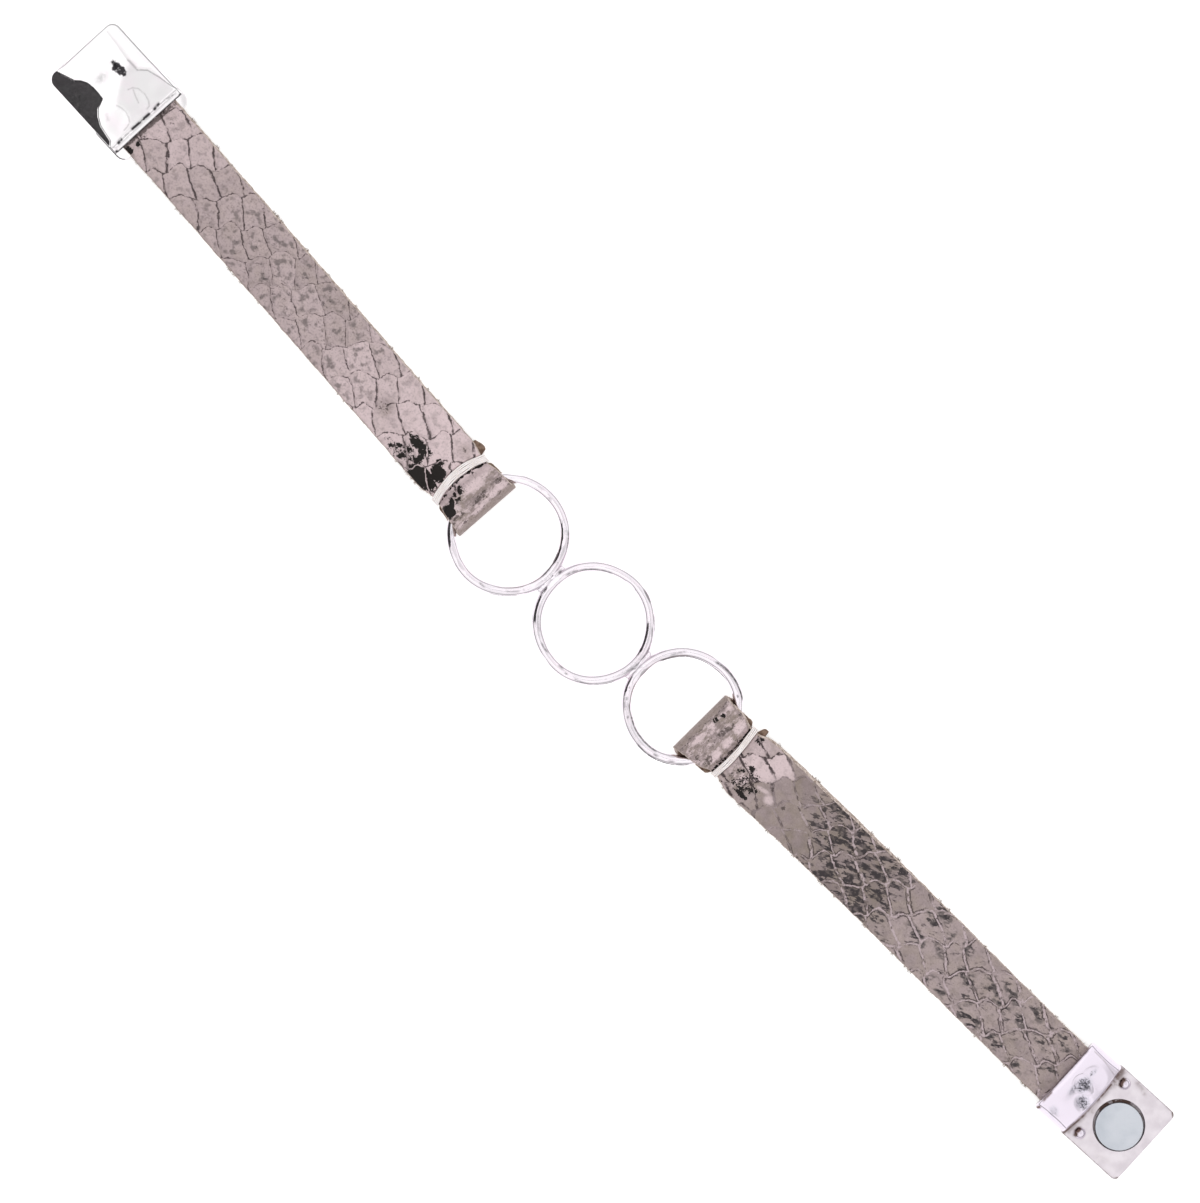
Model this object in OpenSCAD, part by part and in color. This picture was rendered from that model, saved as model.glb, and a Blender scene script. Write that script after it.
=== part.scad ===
// Magnetic bracelet, lying open: two printed leather straps, three soldered rings between
// them and a hammered clasp in two halves.
// Millimetres, +Z up. The surface it lies on is z = 0, and +X runs from the cover half of
// the clasp to the plate half. The origin is below the middle of the whole.

/* [Leather] */
// Width of the flat leather
strap_w = 10; // [9.5:0.1:10.3]
// Thickness of the leather along its run
strap_t = 1.3; // [1.1:0.05:1.4]
// Thickness where the leather is skived to fold round a ring
fold_t = 0.9; // [0.8:0.05:0.95]
// Left strap, from the first ring's centre to the mouth of the cover half
left_run = 75.3; // [60:0.1:90]
// Right strap, from the third ring's centre to the mouth of the plate half
right_run = 74.6; // [60:0.1:90]
// Way that the left strap turns from the line through the bracelet
left_turn = 2.8; // [0:0.1:5]
// Way that the right strap turns from that line
right_turn = 2.2; // [0:0.1:5]

/* [Rings] */
// Outside diameter of the first two rings
ring_d = 17.5; // [17.2:0.1:17.8]
// Outside diameter of the third ring
third_d = 17; // [16.8:0.1:17.5]
// Thickness of the ring wire
wire_d = 1.48; // [1.3:0.02:1.5]
// Distance from the first ring's centre to the middle ring's
left_pitch = 17.35; // [17:0.05:17.5]
// Distance from the middle ring's centre to the third ring's
right_pitch = 17.1; // [16.9:0.05:17.5]
// Turn of the third ring round the middle one
third_turn = 3; // [0:0.5:6]

/* [Thread] */
// Thickness of the wound thread
thread_t = 0.3; // [0.2:0.02:0.34]
// Strands that lie side by side in a wrap
strands = 4; // [3:1:6]

/* [Clasp] */
// Width of the cover and of the plate
clasp_w = 12.7; // [12.5:0.1:13]
// Length of the cover half, with its flange
cover_l = 15.8; // [15.6:0.1:16.2]
// Height of the cover at its crown
cover_h = 4.6; // [4.5:0.1:5]
// Length of the plate half
plate_l = 15.5; // [15.3:0.1:16]
// Thickness of the plate
plate_t = 2.2; // [2.1:0.05:2.3]
// Length of the plate half's cap
cap_l = 5.4; // [5.2:0.1:5.6]
// Height of the cap at its crown
cap_h = 4.4; // [4.2:0.1:4.8]
// Thickness of the floor and the side walls of both sockets
socket_wall = 0.9; // [0.8:0.05:1]
// Diameter of each magnet
magnet_d = 6.8; // [6.5:0.1:6.9]
// Diameter of a locating pin
pin_d = 1.65; // [1.4:0.05:1.8]

/* [Hidden] */

leather_colour = "#B9A9A6";
thread_colour = "#EFEAE0";
silver_colour = "#D3D3D6";
plate_colour = "#B8B3B6";
magnet_colour = "#8D96A0";

// Small gap between pieces that meet
gap = 0.1;

// The two loops: one row for each strap, lengths from its ring's centre
NOSE = 0;      // outer face of the fold, inside the ring
WRAP = 1;      // ends of the thread wrap, at the leather's edges
ARCH = 2;      // how much further out the middle of the wrap lies
WRAP_W = 3;    // width of the wrap
TAIL = 4;      // end of the under layer
SKEW = 5;      // how far the tail lies to the side
CINCH = 6;     // how much the wrap draws each edge in
BOW = 7;       // sideways bow of the run
RISE = 8;      // where the strap starts to rise to its clasp half
RUN = 9;       // mouth of the clasp half
RING_SIZE = 10; // outside diameter of the ring that it holds
FOLD_LEAN = 11; // how much the fold leans, as a slope
left_loop = [4.3, 10.25, 1, 1.2, 13.1, -0.25, 0.45, 0, 61, left_run, ring_d, 0];
right_loop = [3.1, 9.75, 0.3, 0.9, 11.4, 0.15, 0.8, 0.65, 60, right_run, third_d, -0.025];

// Height of half the space that the fold leaves for the wire
fold_space = wire_d / 2 + gap + 0.02;
wire_z = fold_t + fold_space;
function ring_r(s) = (s[RING_SIZE] - wire_d) / 2;
// Leather in the wrap: how far it is lifted, domed and pressed in
wrap_lift = 0.4;
wrap_dome = 0.35;
wrap_press = 0.2;
wrap_gap = 0.08;
edge_round = 0.2;
nose_steps = 8;
// Leather in a socket
seat_l = 4.3;
slot_h = strap_t + 2 * gap;
slot_w = strap_w + 0.5;
seat_z = socket_wall + gap;

// Places of the rings and the clasp halves from the middle ring's centre, seen from above
ring_1 = [-left_pitch, -0.05];
ring_3 = right_pitch * [cos(third_turn), sin(third_turn)];
cover_mouth = ring_1 + left_run * [-cos(left_turn), sin(left_turn)];
plate_mouth = ring_3 + right_run * [cos(right_turn), sin(right_turn)];
// The clasp halves don't quite line up with their straps
plate_turn = right_turn + 1.5;
cover_turn = left_turn - 1.3;
far_x = plate_mouth.x + plate_l * cos(plate_turn) + clasp_w / 2 * sin(plate_turn) - 0.1;
near_x = cover_mouth.x - cover_l * cos(cover_turn) - clasp_w / 2 * sin(cover_turn) + 0.1;
far_y = plate_mouth.y + plate_l * sin(plate_turn) + (clasp_w / 2) * cos(plate_turn) - 0.1;
near_y = -0.05 - ring_d / 2;
middle = [(far_x + near_x) / 2, (far_y + near_y) / 2];

// A smooth step from 0 at a to 1 at b, and a smooth hump of 1 at c
function ease(x, a, b) = let (t = max(0, min(1, (x - a) / (b - a)))) t * t * (3 - 2 * t);
function hump(x, c, spread) = exp(-pow((x - c) / spread, 2));
function mix(a, b, t) = a + (b - a) * t;

// Heights and widths of a strap at a length x from the ring's centre, for one row s. The
// wrap acts on the leather below it alike, and fades away on both sides of it.
function off(s, x) = max(0, abs(x - s[WRAP]) - s[WRAP_W] / 2);
function lift(s, x) = wrap_lift * hump(off(s, x), 0, x < s[WRAP] ? 1 : 2.4);
function press(s, x) = wrap_press * (1 - ease(off(s, x), 0, 0.3));
function dome(s, x) = wrap_dome * hump(off(s, x), 0, x < s[WRAP] ? 0.8 : 5);
function half_w(s, x, spread) = strap_w / 2 - s[CINCH] * hump(off(s, x), 0, spread);
function side(s, x) = let (t = x / s[RUN]) x < s[RUN] ? s[BOW] * 6.75 * t * pow(1 - t, 2) : 0;
function lean(s, x) = mix(s[FOLD_LEAN], side(s, x + 0.5) - side(s, x - 0.5), ease(x, s[NOSE] + 1, s[WRAP]));
function arch(s, x) = s[ARCH] * ease(x, nose_x(s), s[WRAP] - s[WRAP_W] / 2) * (1 - ease(x, s[TAIL], s[TAIL] + 8));
function skew(s, x) = s[SKEW] * ease(off(s, x) * sign(x - s[WRAP]), 0, 1);
function leather_t(s, x) = mix(fold_t, strap_t, ease(x, s[TAIL], s[TAIL] + 3));
function nose_x(s) = s[NOSE] + fold_t + fold_space;

// Underside of the upper layer: over the wire, down to the tail, down to the surface, and
// up to the clasp. A delay moves the first step outwards, which keeps the leather's
// thickness on the slope.
function pinch_from(s) = ring_r(s) + 0.35 - s[ARCH] / 2;
function under_z(s, x, delay) =
    let (pinch_z = fold_t + gap + lift(s, x),
        loop_z = mix(fold_t + 2 * fold_space, pinch_z,
            ease(x, pinch_from(s) + delay, s[WRAP] - s[WRAP_W] / 2 - 0.1)),
        run_z = mix(loop_z, 0, ease(x, s[TAIL] + 0.2, s[TAIL] + 8)))
    run_z + seat_z * ease(x, s[RISE], s[RUN] - 0.8);
function top_z(s, x) = under_z(s, x, 0.3) + leather_t(s, x) - press(s, x);

// Sections along the leather: places of its flesh side and its grain side, half its width,
// then how far its middle lies to the side, up and out, and how much it leans
function tail_section(s, x) =
    [[x, fold_t + lift(s, x)], [x, lift(s, x) + press(s, x)], half_w(s, x, 0.8),
        side(s, x) + skew(s, x), dome(s, x), arch(s, x), lean(s, x)];
function nose_section(s, a) = let (way = [cos(a), sin(a)], at = [nose_x(s), wire_z])
    [at + fold_space * way, at + (fold_space + fold_t) * way, strap_w / 2,
        side(s, s[NOSE]), 0, 0, lean(s, s[NOSE])];
function upper_section(s, x) =
    [[x, under_z(s, x, 0)], [x, top_z(s, x)], half_w(s, x, 1.7),
        side(s, x), dome(s, x), arch(s, x), lean(s, x)];

// Lengths at which the upper layer has a section: close together in the loop
function upper_lengths(s) = concat(
    [for (i = [1:4]) mix(nose_x(s), pinch_from(s), i / 4)],
    [for (i = [1:7]) mix(pinch_from(s), s[WRAP] - s[WRAP_W] / 2, i / 7)],
    [for (i = [1:4]) s[WRAP] + s[WRAP_W] * (i / 4 - 0.5)],
    [for (i = [1:10]) s[WRAP] + s[WRAP_W] / 2 + 0.3 + 11 * pow((i - 1) / 9, 1.5)],
    [for (i = [1:9]) mix(s[WRAP] + 13.5, s[RISE], i / 9)],
    [for (i = [1:8]) mix(s[RISE], s[RUN], i / 8)],
    [s[RUN] + seat_l]);
function tail_lengths(s) = concat(
    [for (i = [0:2]) mix(s[TAIL], s[WRAP] + s[WRAP_W] / 2 + 0.3, i / 2)],
    [for (i = [4:-1:0]) s[WRAP] + s[WRAP_W] * (i / 4 - 0.5)],
    [s[WRAP] - s[WRAP_W] / 2 - 0.3, s[WRAP] - 2]);
function strap_sections(s) = concat(
    [for (x = tail_lengths(s)) tail_section(s, x)],
    [for (i = [0:nose_steps]) nose_section(s, 270 - 180 * i / nose_steps)],
    [for (x = upper_lengths(s)) upper_section(s, x)]);

// A section's corners: grain side, edge, flesh side, edge, with the corners eased
function section_points(c) =
    let (flesh = c[0], grain = c[1], w = c[2], e = edge_round / norm(grain - flesh), inner = 1 - edge_round / w,
        flat = [inner, inner / 2, 0, -inner / 2, -inner],
        edge = [for (t = flat) [t, grain], for (k = [1 - e, e]) [-1, mix(flesh, grain, k)],
            for (t = flat) [-t, flesh], for (k = [e, 1 - e]) [1, mix(flesh, grain, k)]])
    [for (p = edge) let (t = p[0], bend = 1 - t * t)
        [p[1].x + bend * c[5] - t * w * c[6], c[3] + t * w, p[1].y + bend * c[4]]];

// Triangles between k loops of n points each. A loop runs counter-clockwise as seen from
// the end that the loops lead to.
function skin(n, k, closed = false) = [for (j = [0:(closed ? k - 1 : k - 2)], i = [0:n - 1])
    let (a = j * n + i, b = j * n + (i + 1) % n, c = ((j + 1) % k) * n + i, d = ((j + 1) % k) * n + (i + 1) % n)
    each [[a, d, b], [a, c, d]]];

// A closed solid through such loops, with a point in the middle of each end
function mean(points) = let (one = [for (p = points) 1]) one * points / len(points);
module loft(loops, first, last) {
    n = len(loops[0]);
    k = len(loops);
    polyhedron(concat([for (loop = loops) each loop], [first, last]), concat(
        [for (i = [0:n - 1]) [i, (i + 1) % n, n * k]],
        skin(n, k),
        [for (i = [0:n - 1]) [(k - 1) * n + (i + 1) % n, (k - 1) * n + i, n * k + 1]]), convexity = 6);
}

module strap(s) {
    loops = [for (c = strap_sections(s)) section_points(c)];
    loft(loops, mean(loops[0]), mean(loops[len(loops) - 1]));
}

// Thread wound round both layers: a ribbed band on the pressed leather. Its path goes round
// the two layers, as rows of [across, up, outward across, outward up].
function wrap_path(s) =
    let (x = s[WRAP], w = half_w(s, x, 1) + wrap_gap, low = lift(s, x) + press(s, x) - wrap_gap,
        high = top_z(s, x) + wrap_gap, flat = [0.94, 0.75, 0.5, 0.25, 0, -0.25, -0.5, -0.75, -0.94])
    [for (t = flat) [t * w, high + wrap_dome * (1 - t * t), 0, 1],
        for (v = [1, 0.4, -0.4, -1]) [-w, mix(low, high, (v + 1) / 2), -1, v * abs(v)],
        for (t = flat) [-t * w, low + wrap_dome * (1 - t * t), 0, -1],
        for (v = [-1, -0.4, 0.4, 1]) [w, mix(low, high, (v + 1) / 2), 1, v * abs(v)]];
module thread_wrap(s) {
    w = half_w(s, s[WRAP], 1) + wrap_gap;
    // One rib for each strand: two low points and a high one, then the inner face
    ribs = [for (i = [0:strands - 1], part = [0.2, 0.8]) [(i + part) / strands, thread_t],
        [1, 0.4 * thread_t], [1, 0], [0.5, 0], [0, 0], [0, 0.4 * thread_t]];
    loops = [for (p = wrap_path(s)) [for (rib = ribs)
        [s[WRAP] + (0.5 - rib[0]) * s[WRAP_W] + s[ARCH] * max(0, 1 - pow(p[0] / w, 2)) - p[0] * lean(s, s[WRAP]),
            side(s, s[WRAP]) + p[0] + rib[1] * p[2],
            p[1] + rib[1] * p[3]]]];
    polyhedron([for (loop = loops) each loop], skin(len(ribs), len(loops), true), convexity = 6);
}

// Hammered rings: one row each
RING_AT = 0;    // centre
RING_D = 1;     // outside diameter
RING_AXIS = 2;  // direction of its long axis
RING_OVAL = 3;  // how much it is out of round
rings = [[ring_1, ring_d, 40, 0.05], [[0, 0], ring_d, 130, 0.06], [ring_3, third_d, -46, 0.12]];
ring_steps = 40;
wire_sides = 8;
function ring_points(row) = [for (i = [0:ring_steps - 1], j = [0:wire_sides - 1])
    let (a = 360 * i / ring_steps, b = -360 * (j + 0.5) / wire_sides,
        turn = a - row[RING_AXIS],
        r = (row[RING_D] - wire_d) / 2 + row[RING_OVAL] / 2 * cos(2 * turn) + 0.04 * sin(5 * turn),
        w = (wire_d / 2 - 0.02) * (1 + 0.02 * cos(7 * turn) + 0.015 * sin(11 * turn + 60 * j)),
        d = r + w * cos(b))
    [row[RING_AT].x + d * cos(a), row[RING_AT].y + d * sin(a), wire_z + w * sin(b)]];

module ring(row) polyhedron(ring_points(row), skin(wire_sides, ring_steps, true), convexity = 6);

// Solder that fills the two corners where neighbouring rings meet
module solder(from, to) {
    way = (to - from) / norm(to - from);
    across = [-way.y, way.x];
    meet = (from + to) / 2;
    for (edge = [-1, 1], end = [-1, 1])
        hull() {
            translate(concat(meet + across * edge * 0.5, wire_z)) sphere(wire_d / 2 * 0.85, $fn = 12);
            translate(concat(meet + across * edge * 1.75 + way * end * 0.35, wire_z)) sphere(0.3, $fn = 8);
        }
}

// A rounded rectangle as points: n between corners on each side, the corners in 3 steps
function arc(x, y, r, from) = [for (i = [0:3]) [x + r * cos(from + 30 * i), y + r * sin(from + 30 * i)]];
function between(p, q, n) = [for (i = [1:n]) mix(p, q, i / (n + 1))];
function outline(a, b, r, n) =
    let (c = [arc(a - r, b - r, r, 0), arc(r - a, b - r, r, 90), arc(r - a, r - b, r, 180), arc(a - r, r - b, r, 270)])
    [for (i = [0:3]) each concat(c[i], between(c[i][3], c[(i + 1) % 4][0], n))];

// Hammer marks: each row is the place, radius and depth of one dent
DENT_X = 0;
DENT_Y = 1;
DENT_R = 2;
DENT_DEPTH = 3;
cover_dents = [[5.2, 2.9, 1.9, 0.3], [4.9, -1.5, 1.9, 0.28], [4.4, -4.6, 1.5, 0.2], [10.6, -1.7, 1.7, 0.22],
    [10.8, 1.4, 1.4, 0.15], [8.2, 4.4, 1.8, 0.2], [13.2, 4, 1.6, 0.2], [13.4, -3.9, 1.7, 0.2], [8, -4.4, 1.7, 0.2]];
cap_dents = [[2.6, 2.1, 1.3, 0.28], [2.9, -0.6, 1.3, 0.2], [2.4, -3.2, 1.3, 0.28], [2.9, 4.4, 1, 0.12]];
function dents(rows, x, y) = len(rows) == 0 ? 0 : max([for (d = rows)
    d[DENT_DEPTH] * exp(-(pow(x - d[DENT_X], 2) + pow(y - d[DENT_Y], 2)) / pow(d[DENT_R], 2))]);

// A pillow on a straight-sided block, from x0 to x1: rows of [inset, height] up its side
// and over its top, with the dents pressed in
INSET = 0;
HEIGHT = 1;
module pillow(x0, x1, w, r, rows, marks) {
    across = 6;
    middle_x = (x0 + x1) / 2;
    loops = [for (row = rows)
        [for (p = outline((x1 - x0) / 2 - row[INSET], w / 2 - row[INSET], max(r - row[INSET], 0.25), across))
            let (x = middle_x + p.x, share = min(1, row[INSET] / 1.2))
            [x, p.y, row[HEIGHT] - share * dents(marks, x, p.y)]]];
    top = rows[len(rows) - 1][HEIGHT] - dents(marks, middle_x, 0);
    loft(loops, [middle_x, 0, rows[0][HEIGHT]], [middle_x, 0, top]);
}

// Cover half, in its own frame: x runs from its mouth to its far end
lip_x = 1.65;
cover_side_h = 2.9;
cover_socket_l = 6;
cover_under = plate_t + 0.15;
cover_rows = [[0, 0], [0, cover_side_h], [0.1, cover_side_h + 0.35], [0.35, cover_side_h + 0.7],
    [0.8, cover_side_h + 1.02], [1.5, cover_side_h + 1.3], [2.4, cover_h - 0.22], [3.4, cover_h - 0.08], [4.6, cover_h]];
magnet_end = 4.85;
magnet_x = cover_socket_l + gap + magnet_end;
cover_magnet_h = 1.5;
pin_y = 4.7;
pin_x = cap_l + 1.85;
module cover_half() {
    difference() {
        union() {
            pillow(lip_x, cover_l, clasp_w, 1.4, cover_rows, cover_dents);
            // Flange below the leather, with round corners that show beside it
            linear_extrude(socket_wall) hull() for (y = [-1, 1])
                translate([1.3, y * (clasp_w / 2 - 1.2)]) {
                    circle(1.3, $fn = 32);
                    translate([3, 0]) square(1, center = true);
                }
        }
        translate([-1, -slot_w / 2, socket_wall]) cube([cover_socket_l - socket_wall + 1, slot_w, slot_h]);
        translate([cover_socket_l, -clasp_w, -1]) cube([cover_l, 2 * clasp_w, cover_under + 1]);
        translate([magnet_x, 0, cover_under - 1]) cylinder(2.6, d = magnet_d + 0.2, $fn = 64);
        for (y = [-pin_y, pin_y])
            translate([cover_socket_l + gap + plate_l - pin_x, y, cover_under - 1]) cylinder(2, d = pin_d + 0.3, $fn = 48);
    }
}

// A magnet with broken edges, from z0 up
module magnet(x, y, z0, h) {
    edge = 0.2;
    translate([x, y, z0]) {
        cylinder(edge, magnet_d / 2 - edge, magnet_d / 2, $fn = 64);
        translate([0, 0, edge]) cylinder(h - 2 * edge, d = magnet_d, $fn = 64);
        translate([0, 0, h - edge]) cylinder(edge, magnet_d / 2, magnet_d / 2 - edge, $fn = 64);
    }
}

// Plate half, in its own frame: x runs from its mouth to its far end
cap_side_h = 3.1;
cap_w = clasp_w - 0.3;
cap_rows = [[0, 0], [0, cap_side_h], [0.15, cap_side_h + 0.42], [0.45, cap_side_h + 0.75],
    [0.85, cap_side_h + 0.98], [1.4, cap_h - 0.1], [2, cap_h]];
recess_d = 7.3;
recess_floor = 0.35;
plate_magnet_h = 1.6;
pin_h = 0.85;
pin_dome_r = 1.1;
module plate_half() {
    difference() {
        union() {
            pillow(0, cap_l, cap_w, 0.7, cap_rows, cap_dents);
            linear_extrude(plate_t) polygon([[cap_l - 0.3, -clasp_w / 2], [plate_l - 0.8, -clasp_w / 2],
                each arc(plate_l - 0.8, -clasp_w / 2 + 0.8, 0.8, -90),
                each arc(plate_l - 0.8, clasp_w / 2 - 0.8, 0.8, 0),
                [cap_l - 0.3, clasp_w / 2]]);
            // Pins with domed tops
            for (y = [-pin_y, pin_y]) translate([pin_x, y, plate_t]) intersection() {
                translate([0, 0, -0.5]) cylinder(2, d = pin_d, $fn = 48);
                translate([0, 0, pin_h - pin_dome_r]) sphere(pin_dome_r, $fn = 48);
            }
        }
        translate([-1, -slot_w / 2, socket_wall]) cube([cap_l - socket_wall + 1, slot_w, slot_h]);
        translate([plate_l - magnet_end, 0, recess_floor]) cylinder(plate_t, d = recess_d, $fn = 64);
    }
}

// Each piece in its place
module on_first_ring() translate(-middle) translate(ring_1) rotate(180 - left_turn) children();
module on_third_ring() translate(-middle) translate(ring_3) rotate(right_turn) children();
module at_cover() translate(-middle) translate(cover_mouth) rotate(180 - cover_turn) children();
module at_plate() translate(-middle) translate(plate_mouth) rotate(plate_turn) children();

module left_strap() color(leather_colour) on_first_ring() strap(left_loop);
module right_strap() color(leather_colour) on_third_ring() strap(right_loop);
module left_thread_wrap() color(thread_colour) on_first_ring() thread_wrap(left_loop);
module right_thread_wrap() color(thread_colour) on_third_ring() thread_wrap(right_loop);
module ring_trio() color(silver_colour) translate(-middle) union() {
    for (row = rings) ring(row);
    solder(ring_1, [0, 0]);
    solder([0, 0], ring_3);
}
module clasp_cover() color(silver_colour) at_cover() cover_half();
module cover_magnet() color(magnet_colour) at_cover() magnet(magnet_x, 0, cover_under + 0.05, cover_magnet_h);
module clasp_plate() color(plate_colour) at_plate() plate_half();
// The magnet sits off the middle of its recess, a little towards the far end
module plate_magnet() color(magnet_colour) at_plate()
    magnet(plate_l - magnet_end + 0.1, -0.05, recess_floor + 0.05, plate_magnet_h);

left_strap();
right_strap();
left_thread_wrap();
right_thread_wrap();
ring_trio();
clasp_cover();
cover_magnet();
clasp_plate();
plate_magnet();
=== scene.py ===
"""A magnetic bracelet that lies open on a white table: two straps of foiled snake-print leather,
three hammered rings soldered in a row between them, and a hammered clasp in two halves."""
import math
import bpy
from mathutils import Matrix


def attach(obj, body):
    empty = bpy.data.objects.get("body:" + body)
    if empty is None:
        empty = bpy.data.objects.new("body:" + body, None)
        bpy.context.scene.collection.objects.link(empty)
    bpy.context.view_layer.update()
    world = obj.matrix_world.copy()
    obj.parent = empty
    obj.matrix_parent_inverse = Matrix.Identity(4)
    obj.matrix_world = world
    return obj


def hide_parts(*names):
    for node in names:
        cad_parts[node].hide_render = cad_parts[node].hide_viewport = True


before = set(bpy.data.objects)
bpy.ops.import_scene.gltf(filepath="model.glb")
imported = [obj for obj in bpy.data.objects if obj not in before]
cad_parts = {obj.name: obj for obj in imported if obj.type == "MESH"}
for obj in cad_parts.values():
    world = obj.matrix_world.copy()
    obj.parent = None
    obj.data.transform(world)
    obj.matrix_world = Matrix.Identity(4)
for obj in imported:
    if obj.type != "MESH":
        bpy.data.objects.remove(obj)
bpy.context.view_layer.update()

from types import SimpleNamespace

import bmesh
import bpy
import numpy as np
from mathutils import Matrix

# The camera looks straight down with a long lens, turned so that the bracelet runs from the
# upper left to the lower right. Lengths in this script are in mm unless they say otherwise.
MM = 0.001
scene = bpy.context.scene
scene.view_settings.view_transform = "Standard"
scene.view_settings.look = "None"
bracelet_turn = math.radians(46.1)
picture_right = np.array([math.cos(bracelet_turn), math.sin(bracelet_turn), 0.0])
picture_down = np.array([math.sin(bracelet_turn), -math.cos(bracelet_turn), 0.0])
looks_at = np.array([-1.11, 1.67, 1.5])
camera_height = 2000.0
view_width = 169.0
lens = bpy.data.cameras.new("camera")
lens.sensor_fit = "HORIZONTAL"
lens.sensor_width = 36.0
lens.lens = lens.sensor_width * camera_height / view_width
lens.clip_start = 0.05
lens.clip_end = 50.0
camera = bpy.data.objects.new("camera", lens)
scene.collection.objects.link(camera)
camera_axes = np.eye(4)
camera_axes[:3, 0] = picture_right
camera_axes[:3, 1] = -picture_down
camera_axes[:3, 3] = (looks_at + [0, 0, camera_height]) * MM
camera.matrix_world = Matrix(camera_axes.tolist())
scene.camera = camera


# The table is a wide sheet of white card under a white light tent. The tent is a little less
# bright round the camera and dims towards the table, which draws the thin grey lines on the
# metal. A black card stands beside the cover half, for its dark side.
class Shade:
    """A number or colour over a surface: an output of a shader node. Each sum, difference or
    product with another shade or a number adds a Math node."""
    def __init__(self, socket):
        self.socket, self.tree = socket, socket.id_data

    def __add__(self, other):
        return calc("ADD", self, other)

    def __sub__(self, other):
        return calc("SUBTRACT", self, other)

    def __rsub__(self, other):
        return calc("SUBTRACT", other, self)

    def __mul__(self, other):
        return calc("MULTIPLY", self, other)


def feed(socket, value):
    """Gives a socket a shade, a number or the linear colour of a six-digit sRGB code."""
    if isinstance(value, Shade):
        socket.id_data.links.new(value.socket, socket)
    elif isinstance(value, str):
        part = [int(value[i:i + 2], 16) / 255 for i in (1, 3, 5)]
        part = [c / 12.92 if c <= 0.04045 else ((c + 0.055) / 1.055) ** 2.4 for c in part]
        socket.default_value = part + [1.0]
    elif value is not None:
        socket.default_value = value


def put(tree, kind, *inputs, out=0, **settings):
    """Adds a shader node with those settings and feeds its sockets in their order, where None
    leaves one alone. Returns one of its outputs."""
    node = tree.nodes.new("ShaderNode" + kind)
    for key, value in settings.items():
        setattr(node, key, value)
    for socket, value in zip(node.inputs, inputs):
        feed(socket, value)
    return Shade(node.outputs[out])


def tree_of(*values):
    """The node tree of the first shade among the values."""
    return next(value.tree for value in values if isinstance(value, Shade))


def calc(operation, a, b=0.0):
    """One Math node."""
    return put(tree_of(a, b), "Math", a, b, operation=operation)


def fade(value, low, high, start=0.0, end=1.0):
    """A smooth step from start to end as the value goes from low to high."""
    return put(value.tree, "MapRange", value, low, high, start, end, interpolation_type="SMOOTHSTEP")


def blend(share, a, b):
    """Number a where the share is 0, and number b where it is 1."""
    return put(share.tree, "Mix", share, None, a, b, data_type="FLOAT")


def mixed(share, a, b):
    """Colour a where the share is 0, and colour b where it is 1."""
    return put(tree_of(share, a, b), "Mix", share, *[None] * 5, a, b, data_type="RGBA", out=2)


def noise(place, *settings, out=0):
    """Cloudy noise of a scale, a detail and a roughness."""
    return put(place.tree, "TexNoise", place, None, *settings, out=out)


def studio_world():
    """Light by direction, where height is the sine of the elevation: the walls, less the seam
    where they meet the top light, the top, the lens, and two dim sides."""
    world = bpy.data.worlds.new("light_tent")
    world.use_nodes = True
    tree = world.node_tree
    tree.nodes.clear()
    way = put(tree, "TexCoord")
    height = put(tree, "SeparateXYZ", way, out=2)
    left = put(tree, "VectorMath", way, tuple(-picture_right), operation="DOT_PRODUCT", out=1)
    light = fade(height, 0.04, 0.70, 0.30, 1.35)
    for dimmer in (fade(height, 0.60, 0.70) * fade(height, 0.84, 0.76, 0.0, 0.24),
                   fade(height, 0.93, 0.99, 0.0, 0.12), fade(height, 0.9986, 0.9995, 0.0, 0.85),
                   fade(left, 0.3, 0.95) * fade(height, 0.45, 0.10, 0.0, 0.2),
                   fade(left, -0.09, -0.20, 0.0, 0.37) * fade(height, 0.80, 0.90)):
        light = light - dimmer
    strength = blend(put(tree, "LightPath"), light, 1.0)
    feed(tree.nodes.new("ShaderNodeOutputWorld").inputs[0], put(tree, "Background", (1, 1, 1, 1), strength))
    return world


scene.world = studio_world()


def material(name):
    """An empty node material. Returns it with its tree and its output's surface socket."""
    made = bpy.data.materials.new(name)
    made.use_nodes = True
    made.node_tree.nodes.clear()
    output = made.node_tree.nodes.new("ShaderNodeOutputMaterial")
    return made, made.node_tree, output.inputs[0]


def shader(surface, **sockets):
    """A Principled BSDF on the surface socket: each keyword is one of its sockets."""
    node = surface.id_data.nodes.new("ShaderNodeBsdfPrincipled")
    for key, value in sockets.items():
        feed(node.inputs[key.replace("_", " ")], value)
    surface.id_data.links.new(node.outputs[0], surface)


def own_place(tree):
    """A place in metres in the object's own frame."""
    return put(tree, "TexCoord", out=3)


def table_card():
    """White card with a faint tooth, lit a little from below."""
    made, tree, surface = material("white_card")
    shader(surface, Base_Color=mixed(noise(own_place(tree), 900.0), "#FBFBFB", "#F7F7F7"), Roughness=0.7,
           Specular_IOR_Level=0.1, Emission_Color=(1, 1, 1, 1), Emission_Strength=0.38)
    return made


def black_card():
    """Matte black card."""
    made, tree, surface = material("black_card")
    shader(surface, Base_Color=mixed(noise(own_place(tree), 40.0), "#141214", "#2A282A"), Roughness=0.9)
    return made


def sheet_object(name, corners, made):
    """A stage sheet from its four corners."""
    mesh = bpy.data.meshes.new(name)
    mesh.from_pydata([tuple(np.array(c) * MM) for c in corners], [], [(0, 1, 2, 3)])
    mesh.materials.append(made)
    sheet = bpy.data.objects.new(name, mesh)
    scene.collection.objects.link(sheet)
    return sheet


table_reach = 9000.0
sheet_object("table", [(x * table_reach, y * table_reach, 0)
                       for x, y in ((-1, -1), (1, -1), (1, 1), (-1, 1))], table_card())
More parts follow.
